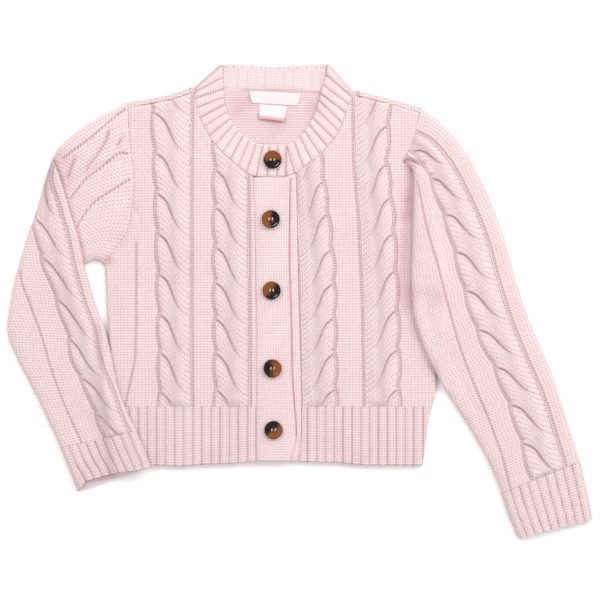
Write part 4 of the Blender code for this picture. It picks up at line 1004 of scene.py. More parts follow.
# The right sleeve's forearm, which lies over the upper arm at its first stations
FOREARM_RIGHT = (
    (-258, 148, -257.9, 147.9, 0.00, 0.00, 0.30), (-265, 128, -250, 128, 0.00, 0.00, 0.30),
    (-271, 107, -244, 108, 0.00, 0.00, 0.60), (-277, 86, -238, 88, 0.00, 0.02, 0.72),
    (-284, 68, -231, 66, 0.00, 0.22, 0.78), (-292, 41, -225, 38, 0.03, 0.38, 0.82),
    (-297, 23, -220, 20, 0.08, 0.50, 0.84), (-301, 3, -213, -4, 0.20, 0.56, 0.86),
    (-305, -24, -204, -28, 0.31, 0.62, 0.88), (-303, -41, -199, -46, 0.34, 0.62, 0.87),
    (-292, -66, -194, -70, 0.32, 0.60, 0.88), (-274, -101, -188, -95, 0.29, 0.64, 0.92),
    (-258, -135, -177, -122, 0.28, 0.62, 0.90), (-250, -153, -170, -135, 0.28, 0.62, 0.90),
    (-241, -175, -162, -154, 0.28, 0.62, 0.90), (-232, -198, -155, -172, 0.28, 0.62, 0.90),
)
RIDGE_STATION = 5
SLEEVE_REPEAT = 42.5
CUFF_RIBS = 9
CUFF_OPENING = ((0.0, 0.0), (0.12, 8.0), (0.45, 6.5), (0.8, 1.5), (1.0, 0.0))
TUBE_MID, TUBE_HOLLOW = FRONT_TOP / 2, 0.4
TUBE_ROUND, TUBE_ROUND_UNDER = 9.0, 2.6
BODY_LIFT = 7.0
LIFT_STEPS = (3.4, 13.0)
RIGHT_LIFT_Y, LEFT_LIFT_Y = (-5.0, -30.0), (146.0, 135.5)      # where the lift begins
COARSE = 4             # of the fine columns, one is kept on the sides that don't show
INNER_ROWS = 8
SLEEVE_STEP = STEP_ALONG * 1.1
print("sleeve tables:", len(SLEEVE_LEFT), "and", len(FOREARM_RIGHT), "stations")

# %% [markdown]
# Where a sleeve lies over the body it is held up, and comes down beside it over a soft
# slope, which follows from the distance to the back's outline.

# %% Sleeves: where they lie
def encloses(loop, x, y):
    """Which points of a grid lie inside a closed loop."""
    count = np.zeros(x.shape, int)
    for (ax, ay), (bx, by) in zip(loop, np.roll(loop, -1, axis=0)):
        if ay != by:
            crossing = (ay > y) != (by > y)
            count += crossing & (x < ax + (y - ay) * (bx - ax) / (by - ay))
    return count % 2 == 1


def body_lift(x, y, high, low):
    """How far the body holds a sleeve up, coming in between two values of y."""
    away = distance_to(np.vstack([BACK_LOOP, BACK_LOOP[:1]]), x, y)
    away = np.where(encloses(BACK_LOOP, x, y), -away, away)
    beside_body = 1 - smoothstep((away - LIFT_STEPS[0]) / (LIFT_STEPS[1] - LIFT_STEPS[0]))
    return BODY_LIFT * beside_body * smoothstep((high - y) / (high - low))


print("the body lifts a sleeve by", BODY_LIFT, "mm")

# %% [markdown]
# A sleeve is knitted as a front is, but its rows run across the arm. So places are
# counted along the arm's middle line and across it, and not in x and y.

# %% Sleeves: how they are knitted
def spread_stations(table, first, last, spacing):
    """Stations at even lengths along a sleeve, and those lengths from its start."""
    fine = np.linspace(0, len(table) - 1, 40 * len(table))
    rows = spline(table, fine)
    middle = (rows[:, 0:2] + rows[:, 2:4]) / 2
    lengths = np.r_[0, np.cumsum(np.linalg.norm(np.diff(middle, axis=0), axis=1))]
    start, end = np.interp((first, last), fine, lengths)
    marks = np.linspace(start, end, round((end - start) / spacing) + 1)
    return np.interp(marks, lengths, fine), marks, lengths[-1], (fine, lengths)


def sleeve_knitting(part, rows, length, marks):
    """Relief, place in the knitting and purl share; marks are the lengths at which the
    first crease, the cuff and the purl columns begin."""
    first, cuff, purl_from = marks
    width = np.maximum(np.linalg.norm(rows[:, 2:4] - rows[:, 0:2], axis=1), 0.1)[:, None]
    left, right, purl_at = rows[:, 5:6], rows[:, 6:7], rows[:, 4:5]
    belly = np.sin(np.pi * ((length - first + 4) / SLEEVE_REPEAT % 1)) ** 0.8 - 0.4
    left = left - CABLE_BELLY * belly / width
    across = np.clip((part - left) / (right - left), 0, 1)
    within = (across > 0) & (across < 1)
    count = (length - crease_drop(across) - first) / SLEEVE_REPEAT
    fade = smoothstep((cuff + 1 - length) / 5) * smoothstep(length / 10)
    relief = np.where(within, strand_height(across, count % 1) * fade, FLAT_RISE)
    beyond = part > right
    offset = np.where(beyond, part - right, part - left) * width
    plain_row = -length / ROW + 0 * part
    wale = np.where(within, count * STRAND_WALES, offset / WALE)
    row = np.where(within, strand_rows(across), plain_row)
    purl = np.zeros(part.shape)
    shade = np.where(within, crease_shade(across, count % 1) * fade, 0.0)
    alone = (length >= purl_from) & (purl_at >= 0.05)
    columns = (((part - left) * width + PURL_OFFSET, ~within),
               ((part - right) * width - PURL_OFFSET, ~within), ((part - purl_at) * width, alone))
    for aside, shown in columns:
        relief, purl = sink_purl(relief, purl, aside, plain_row, shown)
    return ribs_below((relief, wale, row, purl, shade), part * CUFF_RIBS, length - cuff, plain_row)


print("a cable of the sleeves repeats every", SLEEVE_REPEAT, "mm")

# %% [markdown]
# The tube has four sheets: outside above and below, and the hollow's ceiling and floor,
# set in by the wall's thickness. Rims close the wall where the tube is open.

# %% Sleeves: outside, hollow and rims
def nudged(fold, x, y, reach):
    """Plan points nearer to a fold than the reach, moved straight in to it. The fold
    has the tube on its left."""
    flat = np.stack([x.ravel(), y.ravel()], axis=1)
    near = np.flatnonzero(distance_to(fold, x, y).ravel() < reach)
    a, run = fold[:-1], np.diff(fold, axis=0)
    length = np.maximum((run ** 2).sum(1), 1e-12)
    q = flat[near][:, None, :]
    t = np.clip(((q - a) * run).sum(2) / length, 0, 1)
    gaps = np.linalg.norm(q - a - t[..., None] * run, axis=2)
    best = gaps.argmin(1)
    normal = np.column_stack([-run[:, 1], run[:, 0]])[best]
    normal /= np.linalg.norm(normal, axis=1)[:, None]
    flat[near] += normal * (reach - gaps.min(1))[:, None]
    return flat[:, 0].reshape(x.shape), flat[:, 1].reshape(x.shape)


def tube_sheets(x, y, relief, lift_y, folds, on_fold):
    """Heights of a flattened tube's two outer sides, and the distance from its folds."""
    away = np.minimum(distance_to(folds[0], x, y), distance_to(folds[1], x, y))
    away = np.where(on_fold, 0.0, away)
    lift = body_lift(x, y, *lift_y)
    upper = lift + TUBE_MID + (FRONT_TOP - TUBE_MID + relief) * rounding(away, TUBE_ROUND)
    lower = lift + TUBE_MID * (1 - rounding(away, TUBE_ROUND_UNDER))
    return upper, lower, away


def inner_sheets(x, y, lift_y, folds, on_fold):
    """The hollow's ceiling and floor, set in by the wall at the folds."""
    away = np.minimum(distance_to(folds[0], x, y), distance_to(folds[1], x, y))
    away = np.where(on_fold, 0.0, away)
    nx, ny = nudged(folds[0], x, y, WALL)
    nx, ny = nudged(folds[1], nx, ny, WALL)
    half = TUBE_HOLLOW * np.clip(away / 6, 0, 1)
    middle = body_lift(nx, ny, *lift_y) + TUBE_MID
    return nx, ny, middle + half, middle - half


def rim(outer, inner):
    """The strip that closes a wall between its outer and its inner surface."""
    return {key: np.stack([outer[key], inner[key]]) for key in outer}


def row_of(surface, index):
    """One row of a surface."""
    return {key: value[index] for key, value in surface.items()}


def column_of(surface, index):
    """One column of a surface."""
    return {key: value[:, index] for key, value in surface.items()}


print("a sleeve's hollow is", 2 * TUBE_HOLLOW, "mm high")

# %% [markdown]
# The four sheets of a patch share their border points, which makes one closed shell.
# Its columns keep their distance from the cable, so that stitches stay whole while the
# arm gets narrower. The sides that don't show keep only some of the columns.

# %% Sleeves: the sheets of one long patch
def sleeve_plan(rows, offsets):
    """Plan points in columns that keep their distance from the cable's left edge."""
    left, across = rows[:, 0:2], rows[:, 2:4] - rows[:, 0:2]
    width = np.maximum(np.linalg.norm(across, axis=1), 0.1)[:, None]
    part = np.clip(rows[:, 5:6] + offsets[None, :] / width, 0, 1)
    return left[:, 0:1] + part * across[:, 0:1], left[:, 1:2] + part * across[:, 1:2], part


def arm_sheets(table, stations, lengths, marks, lift_y, folds, fold_from, warp, extra):
    """Upper, lower, ceiling and floor of a sleeve from its first to its last station.
    warp moves plan points, and extra adds to the relief or hides it."""
    rows = spline(table, stations)
    width = np.linalg.norm(rows[:, 2:4] - rows[:, 0:2], axis=1)
    low = math.ceil((rows[:, 5] * width).max() / STEP_ACROSS) * STEP_ACROSS
    high = ((1 - rows[:, 5]) * width).max() + COARSE * STEP_ACROSS
    offsets = np.arange(-low, high, STEP_ACROSS)
    every = np.arange(len(stations))
    ridge_end = np.searchsorted(stations, fold_from - 1e-9)
    inner = np.unique(np.r_[every[:ridge_end + 1], every[ridge_end::INNER_ROWS], every[-1]])
    sheets = {}
    for side, kept, offs in (("upper", every, offsets), ("lower", every, offsets[::COARSE]),
                             ("ceiling", inner, offsets), ("floor", inner, offsets[::COARSE])):
        station, length = stations[kept][:, None], lengths[kept][:, None]
        x, y, part = sleeve_plan(rows[kept], offs)
        on_fold = (part <= 0) | ((part >= 1) & (station >= fold_from)) | (station + 0 * x <= 0)
        if fold_from == 0:
            on_fold = (part <= 0) | (part >= 1)
        x, y = warp(x, y, part, length, side in ("upper", "ceiling"))
        if side in ("ceiling", "floor"):
            x, y, ceiling, floor = inner_sheets(x, y, lift_y, folds, on_fold)
            z = ceiling if side == "ceiling" else floor
            sheets[side] = grid(x, y, z, part * width[kept][:, None] / WALE, -length / ROW, 1.0)
            continue
        relief, wale, row, purl, shade = sleeve_knitting(part, rows[kept], length, marks)
        raised = relief + stitch_rise(wale, row, purl, relief)
        shaped = extra(x, y, part, station, width[kept][:, None], raised)
        upper, lower, away = tube_sheets(x, y, shaped, lift_y, folds, on_fold)
        # Painted shade: darker towards the folds, in hollows, at creases and at the listed places
        edge_dark = 0.25 * (1 - np.clip(away / 5, 0, 1))
        dark = np.maximum(hollows(relief), edge_dark) + shade + soft_shade(x, y)
        dark = np.clip(dark, 0, 1)
        z = upper if side == "upper" else lower
        sheets[side] = grid(x, y, z, wale, row, purl, dark if side == "upper" else 0.1)
    return sheets


def tube_grids(sheets, end_rows=(), end_columns=()):
    """A patch's four sheets facing out of the cloth, with rims at its open ends."""
    upper, lower, ceiling, floor = (sheets[k] for k in ("upper", "lower", "ceiling", "floor"))
    grids = [turned(upper), lower, ceiling, turned(floor)]
    for end in end_rows:
        strips = [rim(row_of(upper, end), row_of(ceiling, end)),
                  rim(row_of(floor, end), row_of(lower, end))]
        grids += strips if end == 0 else [turned(s) for s in strips]
    for end in end_columns:
        grids += [rim(column_of(upper, end), column_of(ceiling, end)),
                  rim(column_of(floor, end), column_of(lower, end))]
    return grids


print("sleeve patches are ready")

# %% [markdown]
# The left sleeve lies down over the body's side. Its armhole end is sewn on along a
# curve, and a tuck below the shoulder puffs the cloth up and leaves a sunken wedge,
# which painted shade darkens.

# %% The left sleeve
PLEAT_CAP = ((112, 151.5), (119, 149), (125, 145.5))
PLEAT_VALLEY = ((110, 146), (118, 143), (126, 137.5))
PLEAT_RISE, PLEAT_DROP = 2.6, 2.4
LEFT_CUFF_MARKS = (0.3, 10.2, 1.5)   # stations of first crease, cuff and purl columns
LEFT_SLEEVE_CREASES = (
    (((121, 141), (136, 128), (150, 108)), -0.9, 4.0),
    (((128, 30), (131, -8), (141, -44)), -1.1, 5.0),
    (((121, 96), (124, 60), (126, 20)), 0.7, 5.0),
    (((180, 8), (196, -14), (204, -46)), -0.7, 6.0),
    (((160, -60), (172, -92), (189, -122)), -0.8, 5.0),
    (((205, -60), (222, -96), (236, -120)), 0.5, 6.0),
    (((146, 168), (160, 140), (166, 118)), -0.5, 5.0),
)


def build_left_sleeve():
    """The left sleeve and its length along the middle."""
    last = len(SLEEVE_LEFT) - 1
    stations, lengths, total, scale = spread_stations(SLEEVE_LEFT, 0, last, SLEEVE_STEP)
    edges = spline(SLEEVE_LEFT, np.linspace(0, last, 200))
    folds = (evenly(edges[:, 0:2], 2.0), evenly(edges[::-1, 2:4], 2.0))
    armhole = beside(smooth(ARMHOLE_LEFT), SEAM_GAP)[::-1]
    ends = (np.array(SLEEVE_LEFT[0][0:2]), np.array(SLEEVE_LEFT[0][2:4]))
    armhole[0], armhole[-1] = ends
    parts = np.linspace(0, 1, len(armhole))
    bulge = armhole - (ends[0] + parts[:, None] * (ends[1] - ends[0]))

    def warp(x, y, part, length, is_upper):
        near = 1 - smoothstep(length / 30)
        return (x + near * np.interp(part, parts, bulge[:, 0]),
                y + near * np.interp(part, parts, bulge[:, 1]))

    def extra(x, y, part, station, width, relief):
        relief = relief + laid_creases(x, y, LEFT_SLEEVE_CREASES) + waves(x, y, 0.4)
        relief = relief + PLEAT_RISE * groove(distance_to(smooth(PLEAT_CAP), x, y), 3.0)
        valley = groove(distance_to(smooth(PLEAT_VALLEY), x, y), 2.6)
        relief = relief - (PLEAT_DROP + FLAT_RISE) * valley
        return relief * seam_valley(distance_to(armhole, x, y))

    marks = np.interp(LEFT_CUFF_MARKS, scale[0], scale[1])
    sheets = arm_sheets(SLEEVE_LEFT, stations, lengths, marks, LEFT_LIFT_Y, folds, 0,
                        warp, extra)
    made = cloth_object("knitted_sleeve_left", tube_grids(sheets, end_rows=(0, -1)), yarn)
    return dress(made, "sleeve_left"), total


sleeve_left, left_length = build_left_sleeve()
print("left sleeve length, mm:", round(left_length))

# %% [markdown]
# The right sleeve is bent at the elbow: the forearm comes down over the upper arm in a
# soft roll, along which two patches share their points. The upper arm's is stretched
# between its four edges, as a Coons patch, so its wales fan out from the armhole.

# %% The right sleeve: its tables
UPPER_ARM_TOP = ((-258, 148), (-249, 163), (-226, 182), (-190, 203), (-180.5, 207))
UNDERARM_RIGHT = ((-225, 38), (-213, 43), (-204.6, 38.3))
UPPER_ARM_PURLS = (
    ((-182, 200), (-197, 188), (-219, 169), (-234, 158), (-247, 148)),
    ((-180.5, 153.3), (-190, 152.9), (-208, 138), (-223, 127), (-239, 107)),
    ((-178.5, 126), (-196, 115), (-214, 103), (-225, 90), (-233, 76)),
)
UPPER_ARM_CREASES = (
    ((-185.5, 169.5), (-189, 164), (-191, 159)),
    ((-199, 178), (-203, 165.5), (-211, 152), (-219, 142), (-223, 134)),
    ((-234.5, 148.7), (-238.5, 138.5), (-243, 126)),
)
UPPER_ARM_WALES = 40
UPPER_ARM_CABLE = (0.05, 0.31)       # its two sides, from the shoulder side down
UPPER_ARM_LONG = (75, 50)            # from armhole to roll, and how much less below
FOREARM_ROLL = 4.0
ROLL_ROUND = 3.5
RIGHT_CUFF_MARKS = (3.0, 13.0, 0.5)  # stations of first crease, cuff and purl columns
RIGHT_SLEEVE_CREASES = (
    (((-262, 112), (-257, 80), (-253, 52)), -0.8, 5.0),
    (((-290, 20), (-281, -14), (-282, -40)), -0.8, 6.0),
    (((-232, 8), (-224, -22), (-214, -50)), 0.7, 5.0),
    (((-205, -72), (-222, -76), (-240, -70)), -0.7, 5.0),
    (((-262, -60), (-246, -92), (-232, -118)), -0.5, 6.0),
    (((-205, 130), (-212, 112), (-214, 92)), -0.7, 5.0),
    (((-194, 96), (-201, 74), (-210, 56)), -0.6, 5.0),
)
print("purl columns fanning over the upper arm:", len(UPPER_ARM_PURLS))

# %% [markdown]
# A Coons patch adds up the surfaces between both pairs of opposite edges, and takes away
# the one between the four corners, which was counted twice. The cable's few creases
# there are bent by the fold, so they are given as lines.

# %% The right sleeve: upper arm
def from_armhole(u, v):
    """Length of cloth between the armhole and a place on the upper arm."""
    return (1 - u) * (UPPER_ARM_LONG[0] - UPPER_ARM_LONG[1] * v)


def shared(line, count, start, end):
    """A line with a given count of points that begins and ends at given ones."""
    marks, at = np.linspace(0, 1, count), np.linspace(0, 1, len(line))
    out = np.column_stack([np.interp(marks, at, axis) for axis in line.T])
    out[0], out[-1] = start, end
    return out


def upper_arm_points(ridge):
    """Plan points of the upper arm's patch; its first column is the roll's own line."""
    rows = len(ridge)
    armhole = beside(smooth(ARMHOLE_RIGHT)[::-1], SEAM_GAP)[::-1]
    top, low = smooth(UPPER_ARM_TOP), smooth(UNDERARM_RIGHT)
    columns = round(98 / (1.35 * STEP_ACROSS))
    corner = top[-1], low[-1]
    right = shared(evenly(armhole, 1.0), rows, corner[0], corner[1])
    top = shared(top, columns, ridge[0], corner[0])
    low = shared(low, columns, ridge[-1], corner[1])
    u = np.linspace(0, 1, columns)[None, :, None]
    v = np.linspace(0, 1, rows)[:, None, None]
    points = (1 - u) * ridge[:, None] + u * right[:, None] + (1 - v) * top[None] + v * low[None]
    points -= ((1 - u) * (1 - v) * ridge[0] + u * (1 - v) * corner[0]
               + (1 - u) * v * ridge[-1] + u * v * corner[1])
    points[:, 0], points[:, -1], points[0], points[-1] = ridge, right, top, low
    return points, u[..., 0], v[..., 0]


def upper_arm_knitting(x, y, u, v):
    """Cable, purl wales and flat knitting; the cable's creases are given as lines."""
    top, low = UPPER_ARM_CABLE
    across = np.clip((v - top) / (low - top), 0, 1) + 0 * u
    swell = rounding(across, 0.3) * rounding(1 - across, 0.3)
    relief = FLAT_RISE + 1.9 * swell
    wale, row = v * UPPER_ARM_WALES + 0 * u, from_armhole(u, v) / ROW
    purl, shade = np.zeros(x.shape), np.zeros(x.shape)
    for line in UPPER_ARM_CREASES:
        away = distance_to(smooth(line), x, y)
        (x0, y0), (x1, y1) = line[0], line[-1]
        ends = np.minimum(np.hypot(x - x0, y - y0), np.hypot(x - x1, y - y1))
        tapered = smoothstep(ends / 5 + 0.3)
        relief -= 1.7 * groove(away, 2.8) * swell * tapered
        # Painted shade along each crease, a thin dark line and a softer band
        shade = np.maximum(shade, (0.5 * groove(away, 1.1) + 0.25 * groove(away, 3.5)) * tapered)
    for line in UPPER_ARM_PURLS:
        relief, purl = sink_purl(relief, purl, distance_to(smooth(line), x, y), row, 1.0)
    return relief, wale, row, purl, shade


def upper_arm_sheets(ridge, folds):
    """The upper arm's four sheets; they begin at the roll's points."""
    points, u, v = upper_arm_points(ridge)
    sheets = {}
    picked = np.unique(np.r_[np.arange(0, points.shape[1], INNER_ROWS), points.shape[1] - 1])
    for side in ("upper", "lower", "ceiling", "floor"):
        inner = side in ("ceiling", "floor")
        own = points[:, picked] if inner else points
        own_u = u[:, picked] if inner else u
        x, y = own[..., 0], own[..., 1]
        on_fold = np.zeros(x.shape, bool)
        on_fold[0], on_fold[-1] = True, True
        if inner:
            x, y, ceiling, floor = inner_sheets(x, y, RIGHT_LIFT_Y, folds, on_fold)
            z = ceiling if side == "ceiling" else floor
            sheets[side] = grid(x, y, z, v * UPPER_ARM_WALES, own_u, 1.0)
            continue
        relief, wale, row, purl, shade = upper_arm_knitting(x, y, own_u, v)
        beside_roll = smoothstep(distance_to(ridge, x, y) / 5)
        beside_roll[:, 0] = 0
        shaped = relief + knit_rise(wale, 0.55 * np.abs(wale % 1 - 0.5) * 2)
        shaped += laid_creases(x, y, RIGHT_SLEEVE_CREASES) + waves(x, y, 0.3)
        shaped *= beside_roll * seam_valley(from_armhole(own_u, v))
        upper, lower, _ = tube_sheets(x, y, shaped, RIGHT_LIFT_Y, folds, on_fold)
        # Painted shade under the forearm's roll, in hollows, at the creases and at the listed places
        under_roll = 0.8 * (1 - np.clip(distance_to(ridge, x, y) / 4, 0, 1))
        dark = np.maximum(hollows(relief), under_roll) + shade + soft_shade(x, y)
        dark = np.clip(dark, 0, 1)
        sheets[side] = grid(x, y, upper if side == "upper" else lower, wale, row, purl, dark)
    return sheets


print("the upper arm has", UPPER_ARM_WALES, "wales")

# %% [markdown]
# The forearm is one long patch. Above the elbow its inner edge is no fold: the cloth
# runs on over the roll into the upper arm. At the open cuff the upper wall ends a
# little short of the lower one, so that one looks into it.

# %% The right sleeve: forearm
def build_right_sleeve():
    """The right sleeve, and the length of its forearm along the middle."""
    last = len(FOREARM_RIGHT) - 1
    bent, bent_lengths, _, _ = spread_stations(FOREARM_RIGHT, 0, RIDGE_STATION, SLEEVE_STEP)
    free, free_lengths, total, scale = spread_stations(
        FOREARM_RIGHT, RIDGE_STATION, last, SLEEVE_STEP)
    bent[-1] = RIDGE_STATION
    stations, lengths = np.r_[bent, free[1:]], np.r_[bent_lengths, free_lengths[1:]]
    edges = spline(FOREARM_RIGHT, np.linspace(0, last, 240))
    right = spline(FOREARM_RIGHT, np.linspace(last, RIDGE_STATION, 160))[:, 2:4]
    folds = (evenly(np.vstack([smooth(UPPER_ARM_TOP)[::-1], edges[1:, 0:2]]), 2.0),
             evenly(np.vstack([right, smooth(UNDERARM_RIGHT)[1:]]), 2.0))

    def warp(x, y, part, length, is_upper):
        short = np.interp(part, *np.array(CUFF_OPENING).T) if is_upper else 0.0
        return x, y + short * smoothstep((length - total + 30) / 30)

    def extra(x, y, part, station, width, relief):
        past = smoothstep((station - RIDGE_STATION + 0.5) / 2.5)
        roll = FOREARM_ROLL * smoothstep((part - 0.1) / 0.9) * (1 - past)
        full = rounding((1 - part) * width, ROLL_ROUND)
        open_fold = smoothstep((station - RIDGE_STATION + 0.6) / 1.4)
        full = np.where((part >= 1) & (station < RIDGE_STATION), 0.0,
                        1 - (1 - full) * (1 - open_fold))
        relief = relief + laid_creases(x, y, RIGHT_SLEEVE_CREASES) + waves(x, y, 0.4)
        return (relief + roll) * full

    marks = np.interp(RIGHT_CUFF_MARKS, scale[0], scale[1])
    sheets = arm_sheets(FOREARM_RIGHT, stations, lengths, marks, RIGHT_LIFT_Y, folds,
                        RIDGE_STATION, warp, extra)
    ridge = sheets["upper"]["p"][:len(bent), -1, 0:2]
    arm = upper_arm_sheets(ridge, folds)
    grids = tube_grids(sheets, end_rows=(-1,)) + tube_grids(arm, end_columns=(-1,))
    made = cloth_object("knitted_sleeve_right", grids, yarn)
    return dress(made, "sleeve_right"), total


sleeve_right, right_length = build_right_sleeve()
print("right forearm length, mm:", round(right_length))

# %% [markdown]
# The neckband is one ribbed strip all round the neck, a row of closed rings. It is
# folded over at both shoulders, and its upper end laps over its lower end.

# %% The neckband
OVER_STATION, RAMP_STATION = 1.3, 3.4      # the upper end lies over, and comes down
COVERED_STATION = 25.6                     # from here on the lower end is covered
BACK_RIB_RISE = 0.3
BAND_EDGE = 2.2
ACROSS_BAND = 34       # points across a ring's outer side
NECK_STEP = 0.8
FOLD_STEPS = 15
EYELET_IN = 3.4        # from the free edge to the row of eyelets at the back
FOLD_MIDDLE = (FRONT_UNDER + BAND_WALL) / 2


def strip_stations(first, last, spacing):
    """Stations along one strip, with how far along each lies, and its rib number."""
    fine = np.linspace(first, last, 400)
    rows = neck_rows(fine)
    middle = (rows[:, :2] + rows[:, 2:]) / 2
    lengths = np.r_[0, np.cumsum(np.linalg.norm(np.diff(middle, axis=0), axis=1))]
    marks = np.linspace(0, lengths[-1], round(lengths[-1] / spacing) + 1)
    ribs = marks / lengths[-1] * round(lengths[-1] / RIB_PITCH)
    return np.interp(marks, lengths, fine), ribs, lengths[-1]


def band_rings(rows, outer, inner, push_outer, push_inner, count, ribs_inside=0.0):
    """Closed rings of a band: its outer side from free to sewn edge, then its inner."""
    part = np.r_[np.linspace(0, 1, ACROSS_BAND), np.linspace(1, 0, ACROSS_BAND // 2)]
    is_outer = np.arange(len(part)) < ACROSS_BAND
    free, across = rows[:, :2], rows[:, 2:] - rows[:, :2]
    width = np.linalg.norm(across, axis=1)[:, None]
    full = rounding(part[None, :] * width, BAND_EDGE) * seam_valley((1 - part)[None, :] * width)
    rib, rib_wale, rib_purl, rib_shade = rib_relief(count[:, None] + 0 * part[None, :])
    along_rib = part[None, :] * width / ROW + 0 * rib
    stitch = np.where(rib_purl > 0.5, 0.0, 0.8 * knit_rise(rib_wale, along_rib))
    raised = (rib + stitch) * full - np.where(part < 0.5, 1.2, 0.5) * (1 - full)
    push = np.where(is_outer, push_outer[0] + push_outer[2] * raised,
                    push_inner[0] + push_inner[2] * ribs_inside * raised)
    rise = np.where(is_outer, outer + push_outer[1] * raised,
                    inner + push_inner[1] * ribs_inside * raised)
    sideways = np.stack([across[:, 1], -across[:, 0]], 1) / width
    sideways *= np.sign(sideways[:, 1:2])
    plan = free[:, None] + part[None, :, None] * across[:, None]
    plan += sideways[:, None] * push[..., None]
    # Painted shade in the rib grooves and at the listed places
    hollow = np.clip(0.75 * rib_shade + soft_shade(plan[..., 0], plan[..., 1]), 0, 1)
    ring = grid(plan[..., 0], plan[..., 1], rise, rib_wale, along_rib, rib_purl, hollow)
    return {key: np.concatenate([value, value[:, :1]], axis=1) for key, value in ring.items()}


def front_strip(first, last):
    """One of the two strips in front, and its length."""
    stations, ribs, length = strip_stations(first, last, NECK_STEP)
    raised = 1 - smoothstep((stations - OVER_STATION) / (RAMP_STATION - OVER_STATION))
    under = (FRONT_UNDER + (BAND_UNDER - FRONT_UNDER) * raised)[:, None]
    covered = smoothstep((stations - COVERED_STATION) / 0.5)[:, None]
    rings = band_rings(neck_rows(stations), under + BAND_WALL, under, (0, 1 - 0.8 * covered, 0),
                       (0, 0, 0), ribs)
    return rings, length


def back_strip():
    """The strip at the back, whose inside shows a row of eyelets, and its length."""
    stations, ribs, length = strip_stations(NECK_FOLDS[1], NECK_FOLDS[2], NECK_STEP)
    shown = smoothstep((stations - 10.6) / 1.2) * smoothstep((17.4 - stations) / 1.2)
    rings = band_rings(neck_rows(stations), 0.0, BAND_WALL, (0, 0, 0), (0, 1, 0), ribs,
                       (BACK_RIB_RISE / RIB_RISE * shown)[:, None])
    part = np.linalg.norm(rings["p"][..., :2] - rings["p"][:, :1, :2], axis=2)
    eyelet = np.exp(-((part - EYELET_IN) / 1.1) ** 2 - ((ribs[:, None] % 1 - 0.5) * 8.8) ** 2)
    inner = rings["p"][..., 2] > BAND_WALL - 0.9
    rings["stitch"][..., 0] = np.where(inner, 3.4 * ribs[:, None], rings["stitch"][..., 0])
    rings["stitch"][..., 2] *= ~inner
    rings["hollow"] = np.where(inner, 0.6 * rings["hollow"], rings["hollow"])
    rings["p"][..., 2] -= np.where(inner, 1.2 * eyelet * shown[:, None], 0.0)
    # Painted shade in the eyelets
    rings["hollow"] = np.where(inner, np.maximum(rings["hollow"], eyelet), rings["hollow"])
    return rings, length


def shoulder_fold(station, turn_over):
    """Half a turn of the band round a shoulder, from its front down to its back."""
    turns = np.linspace(0, math.pi, FOLD_STEPS)[:, None]
    rows = np.repeat(np.array([NECKBAND[station]], float), FOLD_STEPS, axis=0)
    rings = band_rings(rows, FOLD_MIDDLE * (1 + np.cos(turns)),
                       FOLD_MIDDLE + GAP * np.cos(turns),
                       (FOLD_MIDDLE * np.sin(turns), np.maximum(np.cos(turns), 0), np.sin(turns)),
                       (GAP * np.sin(turns), 0, 0), np.zeros(FOLD_STEPS))
    return turned(rings) if turn_over else rings


def end_cap(ring):
    """A fan of faces that closes a band's end."""
    middle = ring["p"].mean(0)
    return {"p": np.stack([ring["p"], np.broadcast_to(middle, ring["p"].shape)]),
            "stitch": np.stack([ring["stitch"]] * 2), "hollow": np.stack([ring["hollow"]] * 2)}


def build_neckband():
    """The neckband and its length round the neck."""
    first, first_length = front_strip(NECK_FOLDS[0], NECK_FOLDS[1])
    middle, middle_length = back_strip()
    last, last_length = front_strip(NECK_FOLDS[2], NECK_FOLDS[3])
    right, left = shoulder_fold(NECK_FOLDS[1], False), shoulder_fold(NECK_FOLDS[2], True)
    whole = {key: np.concatenate([first[key], right[key], middle[key], left[key], last[key]])
             for key in first}
    grids = [whole, end_cap(row_of(whole, 0)), turned(end_cap(row_of(whole, -1)))]
    made = cloth_object("knitted_neckband", grids, ribbed_yarn)
    return dress(made, "neckband"), first_length + middle_length + last_length


neckband, band_length = build_neckband()
print("neckband length, mm:", round(band_length))

# %% [markdown]
# Two bands of fine upright ribs close the front. The upper one slopes down to its seam,
# and of the lower one only a strip shows. Their free edges are rounded.

# %% The two bands
BAND_LOW, BAND_HIGH = -167.0, 129.0
BAND_SLOPE, BAND_SLOPE_DROP = 9.0, 1.5     # how wide it slopes to its seam, and how far
BUTTON_BAND_FREE_X = -36.0
BUTTON_BAND_TOP = ((-36, 128.8), (-22, 128.8), (-12, 131.1), (-4.6, 133.2))
FINE_RIB = 2.7
FINE_RIB_RISE = 0.42
BAND_STEP = 0.66
BAND_ROUND, BAND_DROP = 1.6, 0.9


